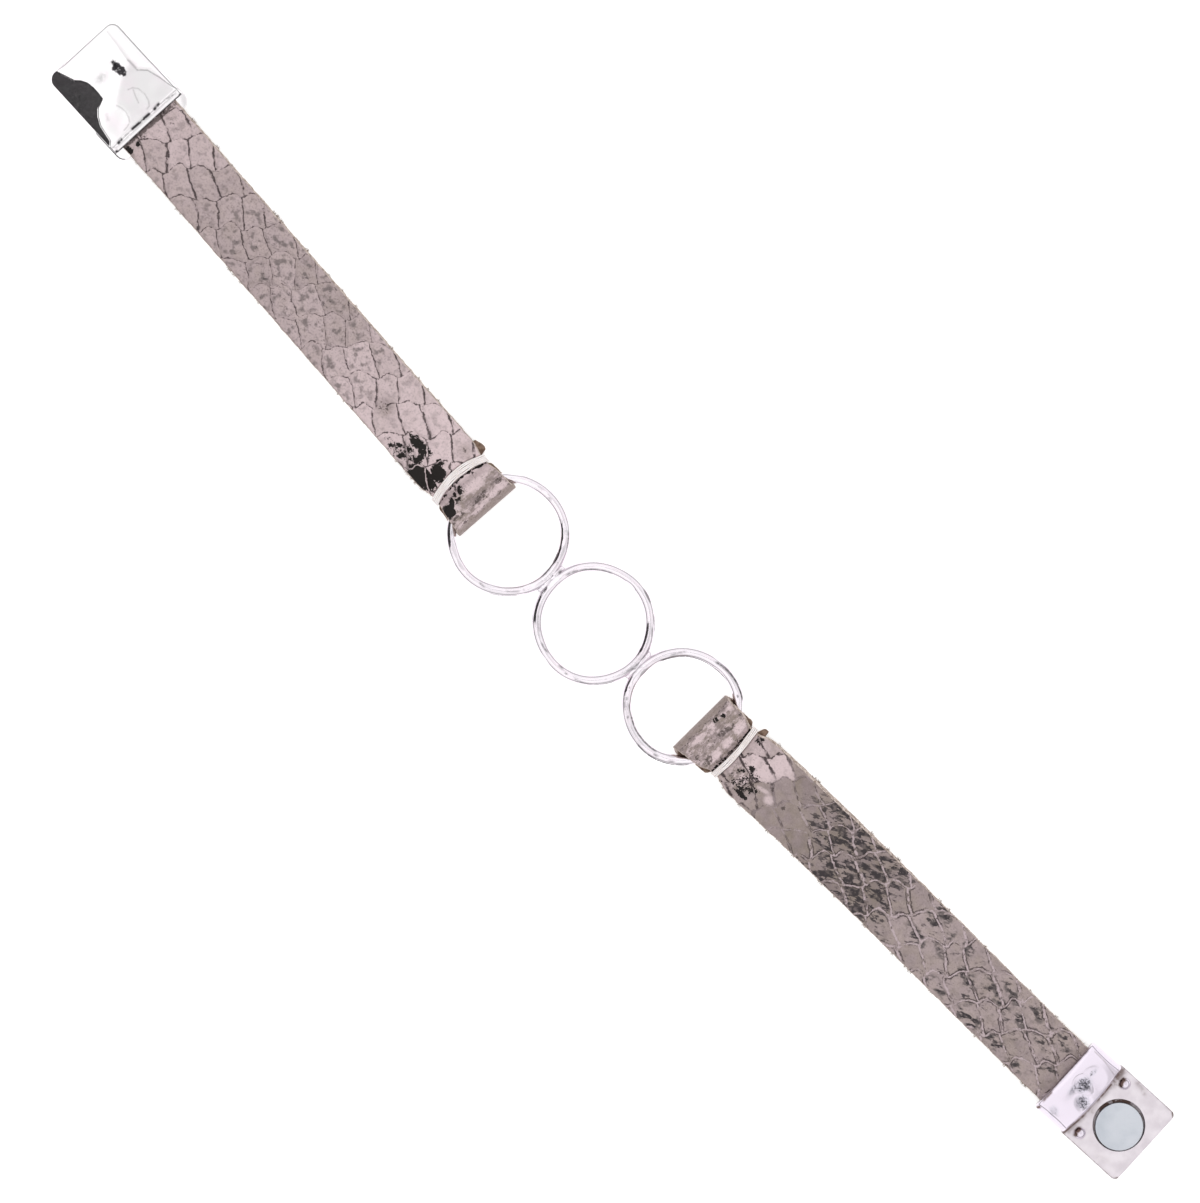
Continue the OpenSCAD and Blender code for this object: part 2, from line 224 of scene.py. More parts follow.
# Only the metal's reflections see the card
card = sheet_object("reflection_card", [(-200, -45, 0.3), (-45, -45, 0.3), (-45, -45, 150), (-200, -45, 150)],
                    black_card())
for sight in ("visible_camera", "visible_diffuse", "visible_shadow", "visible_transmission"):
    setattr(card, sight, False)


# The straps are 10 mm leather, 1.3 mm thick, split and foiled on the grain side with a snake
# print. At the ring each is skived thinner, folded round the wire and bound down on itself.
# The shape is a section carried along the leather: under layer, fold, upper layer, clasp.
def ease(x, a, b):
    """A smooth step from 0 at a to 1 at b."""
    t = np.clip((x - a) / (b - a), 0, 1)
    return t * t * (3 - 2 * t)


def hump(x, centre, spread):
    """A smooth hump of height 1."""
    return np.exp(-((x - centre) / spread) ** 2)


def mix(a, b, t):
    """From a to b as t goes from 0 to 1."""
    return a + (b - a) * t


def turned(x, y, turn):
    """A place in the plan after a turn round the origin."""
    c, n = math.cos(turn), math.sin(turn)
    return x * c - y * n, x * n + y * c


def placed(points, at, turn):
    """Points in a piece's own frame, turned and moved to their place in the plan."""
    x, y = turned(points[..., 0], points[..., 1], turn)
    return np.stack([at[0] + x, at[1] + y, points[..., 2]], axis=-1)


# Along a strap, x runs from its ring's centre. nose, wrap, tail, rise and run are where the
# fold begins, the thread is wound, the tail ends, the strap lifts to the clasp and enters it.
# arch and lean bend the rows across it. The thread narrows it by cinch. skew and peep put the
# tail to one side and make it wider, and bow is how far the strap strays from a straight line.
# The last line places the print: a corner of its scales, to the right of and below the point
# print_from in the picture, the pitch along a row, the step to the row below, the pitch of the
# rows above that corner, and how the rows climb.
gap = 0.1
strap_w, strap_t, fold_t = 10.0, 1.3, 0.9
wire_d = 1.48
fold_space = wire_d / 2 + gap + 0.02
wire_z = fold_t + fold_space
wrap_lift, wrap_dome, wrap_press, wrap_gap, thread_r = 0.4, 0.35, 0.2, 0.08, 0.14
seat_l, seat_z = 4.3, 0.9 + gap
print_from = 0.511, -1.098
middle = np.array([-0.51093, 1.09785])
ring_1 = np.array([-17.35, -0.05]) - middle
ring_2 = -middle
ring_3 = 17.1 * np.array([math.cos(math.radians(3)), math.sin(math.radians(3))]) - middle
left = SimpleNamespace(
    name="left_strap", centre=ring_1, turn=math.radians(180 - 2.8), nose=4.3, wrap=10.25, wrap_w=1.2,
    strands=5, arch=1.0, tail=13.1, skew=-0.8, peep=0.25, cinch=0.45, bow=0.0, rise=61.0, run=75.3,
    ring_r=8.01, fold_lean=0.0,
    corner=(-56.75, -64.14), across=3.41, down=(0.27, 4.165), pitch_above=4.05, climb=-0.05)
right = SimpleNamespace(
    name="right_strap", centre=ring_3, turn=math.radians(2.2), nose=3.1, wrap=9.75, wrap_w=0.9,
    strands=4, arch=0.3, tail=11.4, skew=0.5, peep=0.4, cinch=0.8, bow=0.65, rise=60.0, run=74.6,
    ring_r=7.76, fold_lean=-0.025,
    corner=(33.82, 32.52), across=3.19, down=(0.80, 4.165), pitch_above=3.45, climb=0.036)


def off(s, x):
    """Distance outside the thread wrap."""
    return np.maximum(0, abs(x - s.wrap) - s.wrap_w / 2)


def lift(s, x):
    return wrap_lift * hump(off(s, x), 0, np.where(x < s.wrap, 1.0, 2.4))


def press(s, x):
    return wrap_press * (1 - ease(off(s, x), 0, 0.3))


def dome(s, x):
    return wrap_dome * hump(off(s, x), 0, np.where(x < s.wrap, 0.8, 5.0))


def half_w(s, x, spread):
    return strap_w / 2 - s.cinch * hump(off(s, x), 0, spread)


def side(s, x):
    t = np.minimum(x / s.run, 1)
    return s.bow * 6.75 * t * (1 - t) ** 2


def nose_x(s):
    return s.nose + fold_t + fold_space


def lean(s, x):
    return mix(s.fold_lean, side(s, x + 0.5) - side(s, x - 0.5), ease(x, s.nose + 1, s.wrap))


def arch(s, x):
    return s.arch * ease(x, nose_x(s), s.wrap - s.wrap_w / 2) * (1 - ease(x, s.tail, s.tail + 8))


def under_z(s, x, delay=0.0):
    """Height of the upper layer's flesh side: over the wire, down to the tail, down to the
    table, and up to the clasp."""
    pinch_from = s.ring_r + 0.35 - s.arch / 2
    pinch_z = fold_t + gap + lift(s, x)
    loop_z = mix(fold_t + 2 * fold_space, pinch_z, ease(x, pinch_from + delay, s.wrap - s.wrap_w / 2 - 0.1))
    return mix(loop_z, 0, ease(x, s.tail + 0.2, s.tail + 8)) + seat_z * ease(x, s.rise, s.run - 0.8)


def strap_stations(s, step=0.14):
    """Rows of the leather from the tail round the fold to the clasp: place of the flesh side
    and of the grain side, width and sideways place, and the length along the hide, which is
    the distance from the ring's centre on the upper layer. Each is one column of numbers."""
    x = np.arange(s.tail, nose_x(s), -step)
    past = off(s, x) * np.sign(x - s.wrap)
    askew = s.skew * ease(past, 0, 0.3) * (1 - 0.55 * ease(past, 0.3, 2.6))
    tail = dict(flesh=(x, fold_t + lift(s, x)), grain=(x, lift(s, x) + press(s, x)),
                half=half_w(s, x, 0.4) + s.peep * (1 - ease(x, nose_x(s) + 0.4, nose_x(s) + 1.5)),
                side=side(s, x) + askew, dome=dome(s, x), arch=arch(s, x), lean=lean(s, x))
    a = np.radians(np.linspace(270, 90, 40))
    way = np.array([np.cos(a), np.sin(a)])
    at = np.array([[nose_x(s)], [wire_z]])
    one = np.ones_like(a)
    nose = dict(flesh=at + fold_space * way, grain=at + (fold_space + fold_t) * way,
                half=strap_w / 2 + s.peep * ease(a, math.radians(200), math.radians(262)),
                side=one * side(s, s.nose), dome=0 * one, arch=0 * one, lean=one * lean(s, s.nose))
    x = np.append(np.arange(nose_x(s) + step, s.run + seat_l, step), s.run + seat_l)
    thick = mix(fold_t, strap_t, ease(x, s.tail, s.tail + 3))
    upper = dict(flesh=(x, under_z(s, x)), grain=(x, under_z(s, x, 0.3) + thick - press(s, x)),
                 half=half_w(s, x, 1.7), side=side(s, x), dome=dome(s, x), arch=arch(s, x), lean=lean(s, x))
    rows = {k: np.concatenate([np.array(p[k]) for p in (tail, nose, upper)], axis=-1) for k in upper}
    run = np.concatenate([[0], np.cumsum(np.hypot(*np.diff(rows["grain"], axis=1)))])
    first = tail["half"].size + a.size
    rows["hide"] = np.append((run - run[first] + x[0])[:first], x)
    return SimpleNamespace(**{k: v[..., None] for k, v in rows.items()})


def lattice(s, length, across):
    """Column and row of the snake print at a place on the hide, as smooth numbers. The print's
    rows lie level in the picture, whichever way a strap runs. Slow waves bend the rows, and
    each row's upper edge bulges between two columns."""
    x, y = turned(length, across, s.turn)
    x, y = s.centre[0] + x - print_from[0], s.centre[1] + y - print_from[1]
    to_right = x * picture_right[0] + y * picture_right[1] - s.corner[0]
    to_down = x * picture_down[0] + y * picture_down[1] - s.corner[1] + s.climb * across
    row = np.where(to_down > 0, to_down / s.down[1], to_down / s.pitch_above)
    column = (to_right - s.down[0] * row) / s.across

    def wave(height, by_column, by_row, start):
        return height * np.sin(2 * math.pi * (by_column * column + by_row * row) + start)

    column = column + wave(0.10, 0.13, 0.37, 1) + wave(0.06, 0.61, -0.23, 0)
    row = row + wave(0.08, 0.41, 0.19, 2) + wave(0.05, 0.83, -0.37, 4)
    return column, row - 0.07 * np.cos(2 * math.pi * column)


scale_slant = 0.16


def scale_edge(column, row):
    """1 on a scale's rounded outline and less inside: the sixth-power mean of how far a place
    lies from the scale's middle along its row and its column."""
    q = row - np.floor(row) - 0.5
    slid = column - scale_slant * q
    p = slid - np.floor(slid) - 0.5
    return ((2 * abs(p)) ** 6 + (2 * abs(q)) ** 6) ** (1 / 6)


def smooth_noise(x, spacing, seed):
    """A smooth random line: seeded values at even spacing, joined by smooth steps."""
    draw = np.random.default_rng(seed)
    place = (x - x.min()) / spacing
    values = draw.uniform(-1, 1, int(place.max()) + 3)
    k = np.floor(place).astype(int)
    return mix(values[k], values[k + 1], ease(place - k, 0, 1))


def skin(form, round_rows=False):
    """Points and quads of a grid whose rows each close on themselves. A round grid's last row
    joins its first."""
    rows, columns = form.shape[:2]
    i = np.arange(rows if round_rows else rows - 1)[:, None]
    j = np.arange(columns)[None, :]
    i2, j2 = (i + 1) % rows, (j + 1) % columns
    quads = np.stack([i * columns + j, i * columns + j2, i2 * columns + j2, i2 * columns + j], axis=-1)
    return form, quads.reshape(-1, 4).tolist()


def capped(form):
    """A tube's rows, with a last row at each end that is drawn together to a point."""
    ends = [np.broadcast_to(row.mean(0), row.shape)[None] for row in (form[0], form[-1])]
    return np.concatenate([ends[0], form, ends[1]])


def store(mesh, name, *values):
    """Keeps three numbers a point on the mesh, for its material."""
    attribute = mesh.attributes.new(name, "FLOAT_VECTOR", "POINT")
    values = np.stack(np.broadcast_arrays(*values), -1)
    attribute.data.foreach_set("vector", np.asarray(values, np.float32).ravel())


def make_mesh(name, skins, made, at=(0, 0), turn=0.0, sharp_past=60, facts=(), flat_tops=False):
    """An object from closed skins, each its points in its own frame and its faces. Doubled
    points are merged, which closes poles and seams, and edges sharper than sharp_past degrees
    stay sharp. facts are the names and the numbers to store on the points."""
    points, faces, count = [], [], 0
    for form, corners in skins:
        points.append(placed(form.reshape(-1, 3), at, turn))
        faces += [[corner + count for corner in face] for face in corners]
        count += len(points[-1])
    mesh = bpy.data.meshes.new(name)
    mesh.from_pydata((np.concatenate(points) * MM).tolist(), [], faces)
    for key, values in dict(facts).items():
        store(mesh, key, *values.T)
    form = bmesh.new()
    form.from_mesh(mesh)
    bmesh.ops.remove_doubles(form, verts=form.verts, dist=2e-7)
    bmesh.ops.recalc_face_normals(form, faces=form.faces)
    form.to_mesh(mesh)
    form.free()
    ways = np.zeros(3 * len(mesh.polygons))
    if flat_tops:
        mesh.polygons.foreach_get("normal", ways)
    mesh.polygons.foreach_set("use_smooth", abs(ways[2::3]) < 0.99999)
    mesh.set_sharp_from_angle(angle=math.radians(sharp_past))
    mesh.materials.append(made)
    piece = bpy.data.objects.new(name, mesh)
    scene.collection.objects.link(piece)
    return piece


def strap_surface(s, edge_inset):
    """Points of the leather's skin and, for each, its place on the hide, the side of the
    leather that it is on (0 grain, 1 cut edge, 2 flesh) and its place in the print."""
    rows = strap_stations(s)
    hide, edge_slant = rows.hide, 0.06
    u, v = np.linspace(0, 1, 78)[None, :], np.linspace(0, 1, 18)[None, :]
    e = (np.arange(9)[None, :] + 0.5) / 9
    # The cut edges waver, and the grain side stops a little short of them
    spread = 0.32 * hump(hide, nose_x(s) - 3.6, 2.6)
    half = [rows.half + 0.05 * smooth_noise(hide, spacing, 11 + i) + spread
            + 0.02 * smooth_noise(hide, 0.3, 13 + i) for i, spacing in enumerate((1.3, 0.9))]
    inset = [stop_short(hide) for stop_short in edge_inset]
    grain_y = mix(half[0] - inset[0], -(half[1] - inset[1]), u)
    flesh_y = mix(-(half[1] - edge_slant), half[0] - edge_slant, v)

    def edge_y(i, e):
        out = half[i] - inset[i] * (1 - np.sin(np.minimum(1, e / 0.5) * np.pi / 2))
        return out - edge_slant * ease(e, 0.6, 1)

    y = np.concatenate([grain_y, -edge_y(1, e), flesh_y, edge_y(0, e[:, ::-1])], axis=1)
    share = np.concatenate([1 + 0 * u, 1 - e ** 1.3, 0 * v, 1 - e[:, ::-1] ** 1.3], axis=1)
    kind = np.concatenate([0 * u, 1 + 0 * e, 2 + 0 * v, 1 + 0 * e], axis=1)
    bend = np.clip(1 - (y / rows.half) ** 2, 0, 1)
    length = hide + rows.arch * bend
    column, row = lattice(s, length, y + rows.side)
    outline = scale_edge(column, row)
    # Relief of the grain: sunk outlines, domed scales, a soft groove behind the fold's crest
    upper = ease(hide, s.wrap - 1.2, s.wrap + 0.2)
    relief = 0.03 * (1 - outline ** 2) - 0.06 * ease(outline, 0.84, 1.0)
    relief = relief * upper - 0.14 * hump(hide, s.nose + 2.15, 0.38) + 0.05 * hump(hide, s.nose + 1.2, 0.6)
    relief = relief + 0.03 * np.sin(1.1 * length + 0.7 * y) * np.sin(0.6 * y - 0.4 * length) * upper
    sink = relief * share * (1 - ease(hide, s.run - 1, s.run + 0.2)) * (kind < 1.5)
    ways = rows.grain - rows.flesh
    x, z = mix(rows.flesh, rows.grain, share) + ways / np.hypot(*ways) * sink
    x = x + bend * rows.arch - y * rows.lean
    z = z + bend * rows.dome
    form = capped(np.stack([x, y + rows.side, np.maximum(z, 0.0)], axis=-1))
    facts = {name: np.stack(np.broadcast_arrays(*values), -1)
             for name, values in (("hide", (length, y, kind)), ("print", (column, row, 0)))}
    facts = {name: np.concatenate([value[:1], value, value[-1:]]) for name, value in facts.items()}
    facts["hide"][[0, -1], :, 2] = 1
    return form, facts


def split(value):
    """The three numbers of a place."""
    return [Shade(end) for end in put(value.tree, "SeparateXYZ", value).socket.node.outputs]


def three(tree, name):
    """The three numbers that an attribute keeps."""
    return split(put(tree, "Attribute", attribute_name=name, out=1))


def stretched(place, scale=(1, 1, 1), turn=0.0, shift=0.0):
    return put(place.tree, "Mapping", place, (shift, shift, shift), (0, 0, turn), scale)


def bumped(height, strength, depth):
    """A normal that follows a height over the surface, as deep as depth in metres."""
    normal = put(height.tree, "Bump", strength, depth)
    feed(normal.socket.node.inputs["Height"], height)
    return normal


def foiled_leather():
    """Grain, cut edge and flesh side in one material. The grain is a taupe with a pink silver
    foil on it. Cracks, ridges, hatching and torn patches are cut from noise on the hide, as
    strong as the strap's attributes say, and laid along the print's scale outlines. The torn
    patches' black also paints shade in the crease beside the thread, and the smears' brown
    paints a shadow under the cover's rim."""
    made, tree, surface = material("foiled_snake_leather")
    length, across, kind = three(tree, "hide")
    (foil, smoke, tear_and_crease_shade), (hatching, light, dark) = three(tree, "tones"), three(tree, "lines")
    smear_and_shade, pitting, plain = three(tree, "wear")
    flat = put(tree, "CombineXYZ", length, across, kind)

    def mottle(scale, detail, shift=0.0, roughness=0.55, place=flat):
        return noise(stretched(place, shift=shift), scale, detail, roughness)

    def around(*settings):
        return mottle(*settings) - 0.5

    # Place in the scale: p and q from -0.5 to 0.5 over its width and height, jagged by noise
    wobble = mixed(0.30, noise(flat, 0.9, 2.0, 0.6, out=1), noise(flat, 4.5, 2.0, 0.6, out=1))
    wobble = put(tree, "VectorMath", wobble, (0.5, 0.5, 0.5), operation="SUBTRACT")
    wobble = put(tree, "VectorMath", wobble, (0.27, 0.24, 0.0), operation="MULTIPLY")
    printed = put(tree, "Attribute", attribute_name="print", out=1)
    column, row, _ = split(put(tree, "VectorMath", printed, wobble, operation="ADD"))
    q = calc("FRACT", row) - 0.5
    p = calc("FRACT", column - q * scale_slant) - 0.5
    p, q = calc("ABSOLUTE", p), calc("ABSOLUTE", q)
    outline = calc("POWER", calc("POWER", p * 2.0, 6.0) + calc("POWER", q * 2.0, 6.0), 1 / 6)
    to_side, to_end = (0.5 - p) * 3.3, (0.5 - q) * 4.1

    # Ground: taupe to foil, with a slow drift of hue, a fine mottling and smoky smudges
    share = foil + around(0.8, 4.0) * 0.42 + around(4.6, 4.0, 2) * 0.34
    broken_foil = around(1.5, 5.0, 41, 0.62, stretched(flat, (1.5, 0.75, 1.0)))
    share = share + broken_foil * fade(pitting, 1.0, 2.0, 0.0, 2.6)
    share = put(tree, "MapRange", share, 0.0, 1.0, 0.0, 1.0)
    share = blend(fade(pitting, 1.2, 1.6) * 0.35, share, fade(share, 0.36, 0.62))
    taupe = mixed(fade(mottle(0.45, 2.0, 13), 0.35, 0.65), "#877A72", "#867877")
    colour = mixed(share, taupe, "#D0BDBF")
    along_strokes = stretched(stretched(flat, turn=math.radians(-23)), (0.62, 1.55, 1.0))
    stroke_noise = mottle(1.15, 4.0, 3, 0.58, along_strokes)
    smudged = fade(smoke, 0.8, 2.4)
    spread = mottle(0.85, 2.5, 7) + smudged * 0.13 + (stroke_noise - 0.5) * smudged * 1.5
    spread = spread + fade(outline, 0.45, 0.92, -0.05, 0.10) * smudged
    inside = blend(smudged, fade(outline, 0.97, 0.60), fade(outline, 1.0, 0.94))
    cloud = fade(spread, 0.49, 0.66) * calc("MINIMUM", smoke, 1.15) * inside
    colour = mixed(cloud * 0.74, colour, "#635B5A")
    fine_cloud = fade(mottle(3.0, 3.0, 8), 0.50, 0.66)
    colour = mixed(fine_cloud * fade(smoke, -0.4, 0.8) * 0.34, colour, "#6A6160")

    # Hatching: dark strokes that run a little below level in the picture
    cover = fade(hatching, 0.0, 1.0, 0.66, 0.475) - fade(outline, 0.70, 0.95) * (1.0 - hatching) * 0.06
    soft_edge = fade(hatching, 0.4, 0.8, 0.075, 0.035)
    hatch = calc("DIVIDE", stroke_noise - cover + soft_edge * 0.45, soft_edge)
    hatch = fade(hatch, 0.0, 1.0) * fade(outline, 0.96, 0.86) * fade(hatching, 0.03, 0.2)
    hatch = hatch * fade(mottle(1.4, 2.0, 37), 0.34, 0.56, 0.55, 1.0)
    colour = mixed(hatch * fade(hatching, 0.3, 0.8, 0.72, 0.95), colour, "#2F2A2D")

    # Outlines: a raised line of rubbed foil with a thin crack beside it, or the crack alone
    broken, broken_too = mottle(0.6, 3.0, 11), mottle(1.5, 2.0, 5)
    near = calc("MINIMUM", to_side, to_end + 0.03)
    ragged_near = near + around(2.2, 3.0, 33) * 0.22
    ridge = fade(ragged_near, 0.21, 0.09) * fade(broken_too, 0.38, 0.52) * light
    colour = mixed(ridge * 0.78, colour, "#BAA9AD")
    cracks = []
    for distance, width, gaps in (
            (to_side, fade(mottle(1.1, 3.0, 17), 0.36, 0.58, 0.03, 0.12), fade(broken, 0.30, 0.46)),
            (to_end, fade(mottle(1.3, 3.0, 27), 0.40, 0.62, 0.02, 0.10), fade(broken_too, 0.36, 0.5))):
        thin = width * dark
        cracks.append(put(tree, "MapRange", distance, thin, thin * 0.4, 0.0, 1.0) * gaps)
    crack = calc("MAXIMUM", *cracks) * (1.0 - ridge) * (1.0 - light * 0.4)
    beside = fade(calc("ABSOLUTE", near - light * 0.24), 0.12, 0.03)
    crack = calc("MAXIMUM", crack, beside * light * fade(broken, 0.44, 0.58, 0.0, 0.8))
    crack = crack * fade(dark, 0.0, 1.0) * fade(tear_and_crease_shade, 0.35, 0.8, 1.0, 0.2)
    colour = mixed(crack * 0.92, colour, "#33292A")

    # Specks, rubbed smears and a painted shadow under the cover's rim, torn patches where the foil has gone
    # and painted shade in the crease by the thread, and the fold's plain band
    colour = mixed(fade(mottle(5.5, 2.0, 19), 0.66, 0.71) * pitting * 0.85, colour, "#40363A")
    # The smears' brown also paints a shadow under the cover's rim
    rub = smear_and_shade * 0.75 + around(2.0, 5.0, 29, 0.66) * 3.2
    colour = mixed(fade(rub, 0.42, 0.72) * fade(smear_and_shade, 0.02, 0.3) * 0.78, colour, "#453C39")
    # The torn black also paints shade in the crease beside the thread
    torn = tear_and_crease_shade + around(1.5, 6.0, 23, 0.68) * 3.2 + around(4.0, 3.0, 24, 0.6) * 1.3
    torn = fade(torn, 0.50, 0.56) * fade(tear_and_crease_shade, 0.02, 0.2) * fade(near, 0.05, 0.13)
    colour = mixed(torn, colour, "#17110F")
    colour = mixed(plain * 0.85, colour, mixed(fine_cloud, "#988984", "#7E706A"))

    # The cut edge is cream fibre, and the flesh side brown suede
    solid = own_place(tree)
    fibre = noise(stretched(solid, (1, 1, 3)), 2300.0, 3.0)
    edge_tone = mixed(fade(fibre, 0.34, 0.60), "#8B7A70", "#CCBDB5")
    suede = mixed(fade(noise(solid, 1500.0, 4.0), 0.3, 0.7), "#5B473C", "#8B7566")
    on_edge, on_flesh = fade(kind, 0.25, 0.75), fade(kind, 1.3, 1.8)
    colour = mixed(on_flesh, mixed(on_edge, colour, edge_tone), suede)
    grain = 1.0 - on_edge
    bare = 1.0 - calc("MAXIMUM", torn, hatch * 0.7)
    metallic = grain * bare * (1.0 - plain) * fade(share, 0.0, 1.0, 0.20, 0.55)
    height = mottle(7.5, 4.0, 31, 0.6) * 0.42 - crack * 0.8 + ridge * 0.7 - (torn + hatch * 0.7) * 0.3
    shader(surface, Base_Color=colour, Metallic=metallic, Specular_IOR_Level=0.2,
           Roughness=fade(share, 0.0, 1.0, 0.52, 0.36) + on_edge * 0.4,
           Normal=bumped(height * grain + fibre * on_edge * 1.1, 0.8, 0.0001))
    return made


leather = foiled_leather()


def patches(length, across, rows):
    """The strongest of soft oval patches: rows of [length, across, half length, half width,
    turn in degrees, strength]."""
    strongest = 0 * length
    for at_l, at_a, half_l, half_a, turn, strength in rows:
        dl, da = turned(length - at_l, across - at_a, -math.radians(turn))
        far = np.hypot(dl / half_l, da / half_a)
        strongest = np.maximum(strongest, strength * (1 - ease(far, 0.45, 1.25)))
    return strongest


def by_chance(column, row, seed):
    """A seeded number from -1 to 1 for each cell of the print."""
    numbers = np.random.default_rng(seed).uniform(-1, 1, (97, 89))
    return numbers[np.floor(column).astype(int) % 97, np.floor(row).astype(int) % 89]


def by_scale(values, column, row, share=0.75):
    """Lets each scale of the print take its own mean of the values."""
    q = row - np.floor(row) - 0.5
    cell = (np.floor(column - scale_slant * q) * 1000 + np.floor(row)).astype(int)
    _, place, count = np.unique(cell, return_inverse=True, return_counts=True)
    place = place.reshape(cell.shape)
    means = np.bincount(place.ravel(), values.ravel()) / count
    return mix(values, means[place], share)


# What the print looks like along each strap, read as patches on the hide: how much foil,
# smoke and tearing, then hatching, pale ridges and dark cracks, then smears and pitting. One
# row of the left strap's smears is a painted shadow under the cover's rim.
def left_tones(length, across, column, row):
    loop = 1 - ease(length, 8.6, 9.8)
    foil = np.interp(length, [10, 18, 22, 28, 33, 38, 60, 66, 74],
                     [0.95, 0.97, 0.84, 0.85, 0.72, 0.52, 0.50, 0.66, 0.76])
    foil = by_scale(foil + 0.10 * by_chance(column, row, 3), column, row)
    foil = foil - patches(length, across, [[12.9, -3.1, 1.5, 1.3, 0, 0.3], [25.0, 1.2, 1.6, 1.6, 0, 0.35]])
    in_loop = 0.50 + 0.70 * patches(length, across, [
        [5.95, -3.7, 0.5, 0.9, 0, 1], [5.75, -2.3, 0.5, 0.75, 0, 1], [5.45, -0.5, 0.5, 0.85, 0, 1],
        [5.3, 1.2, 0.45, 0.8, 0, 0.9], [5.1, 3.8, 0.45, 1.0, 0, 0.9], [8.9, -1.0, 1.3, 2.2, 0, 0.75],
        [9.2, -3.3, 0.8, 1.2, 0, 0.9], [7.3, 3.4, 0.9, 1.2, 0, 0.5]])
    foil = mix(foil, in_loop - 0.25 * hump(length, 7.2, 0.7), loop)
    smoke = 0.25 + 0.75 * np.interp(length, [24, 32, 56, 66], [0.15, 1, 1, 0.35])
    torn = patches(length, across, [
        [19.0, 3.8, 2.7, 1.15, 8, 0.62], [17.6, 1.15, 2.4, 0.95, 3, 1.05], [18.2, 2.5, 1.1, 0.8, 0, 0.7],
        [16.2, 2.5, 0.9, 1.3, 0, 0.8], [14.1, 3.85, 2.7, 1.5, 6, 1.4], [13.0, 1.8, 1.6, 1.2, -25, 1.25],
        [13.9, 0.6, 0.8, 0.7, 0, 0.9], [8.7, 2.2, 0.8, 1.9, 12, 1.0], [8.0, 4.0, 1.2, 1.1, 0, 1.15],
        [9.2, 0.8, 0.9, 0.6, 20, 0.75], [75.8, 4.8, 0.8, 0.8, 0, 1.05], [75.7, 3.05, 0.4, 0.4, 0, 1.0]])
    smear_and_shade = patches(length, across, [
        # The first three rows darken a band across the loop, in the dip between the fold's crest and the wire
        [6.7, -3.9, 0.5, 1.2, 0, 0.9], [6.6, -0.6, 0.5, 1.8, 5, 1.0], [6.4, 3.7, 0.5, 1.5, 5, 0.9],
        [12.9, -3.1, 0.35, 1.0, 30, 0.7], [17.6, -4.6, 1.2, 0.3, 0, 0.8], [5.25, 3.4, 0.3, 0.3, 0, 0.9],
        # The row at 76.6 is a painted shadow across the strap, under the cover's rim
        [25.0, 1.2, 1.2, 1.2, 0, 0.5], [74.9, -2.6, 0.9, 0.6, 20, 0.6], [76.6, 0.0, 0.42, 6.5, 0, 1.2],
        [75.9, 2.2, 0.5, 0.9, 0, 0.6]])
    dark = np.interp(length, [8.6, 11, 28, 34, 52, 60, 68], [0.15, 2.0, 1.35, 0.85, 0.8, 1.3, 1.75])
    pitting = np.interp(length, [8, 9.4, 10, 26, 34, 56, 64, 75], [1.8, 1.8, 0.35, 0.25, 1, 1, 0.5, 0.5])
    lines = 0.18 * hump(length, 45, 16) * (1 - loop), 0.06 * (1 - loop), dark
    return (foil, smoke * (1 - 0.5 * loop), torn), lines, (smear_and_shade, pitting)


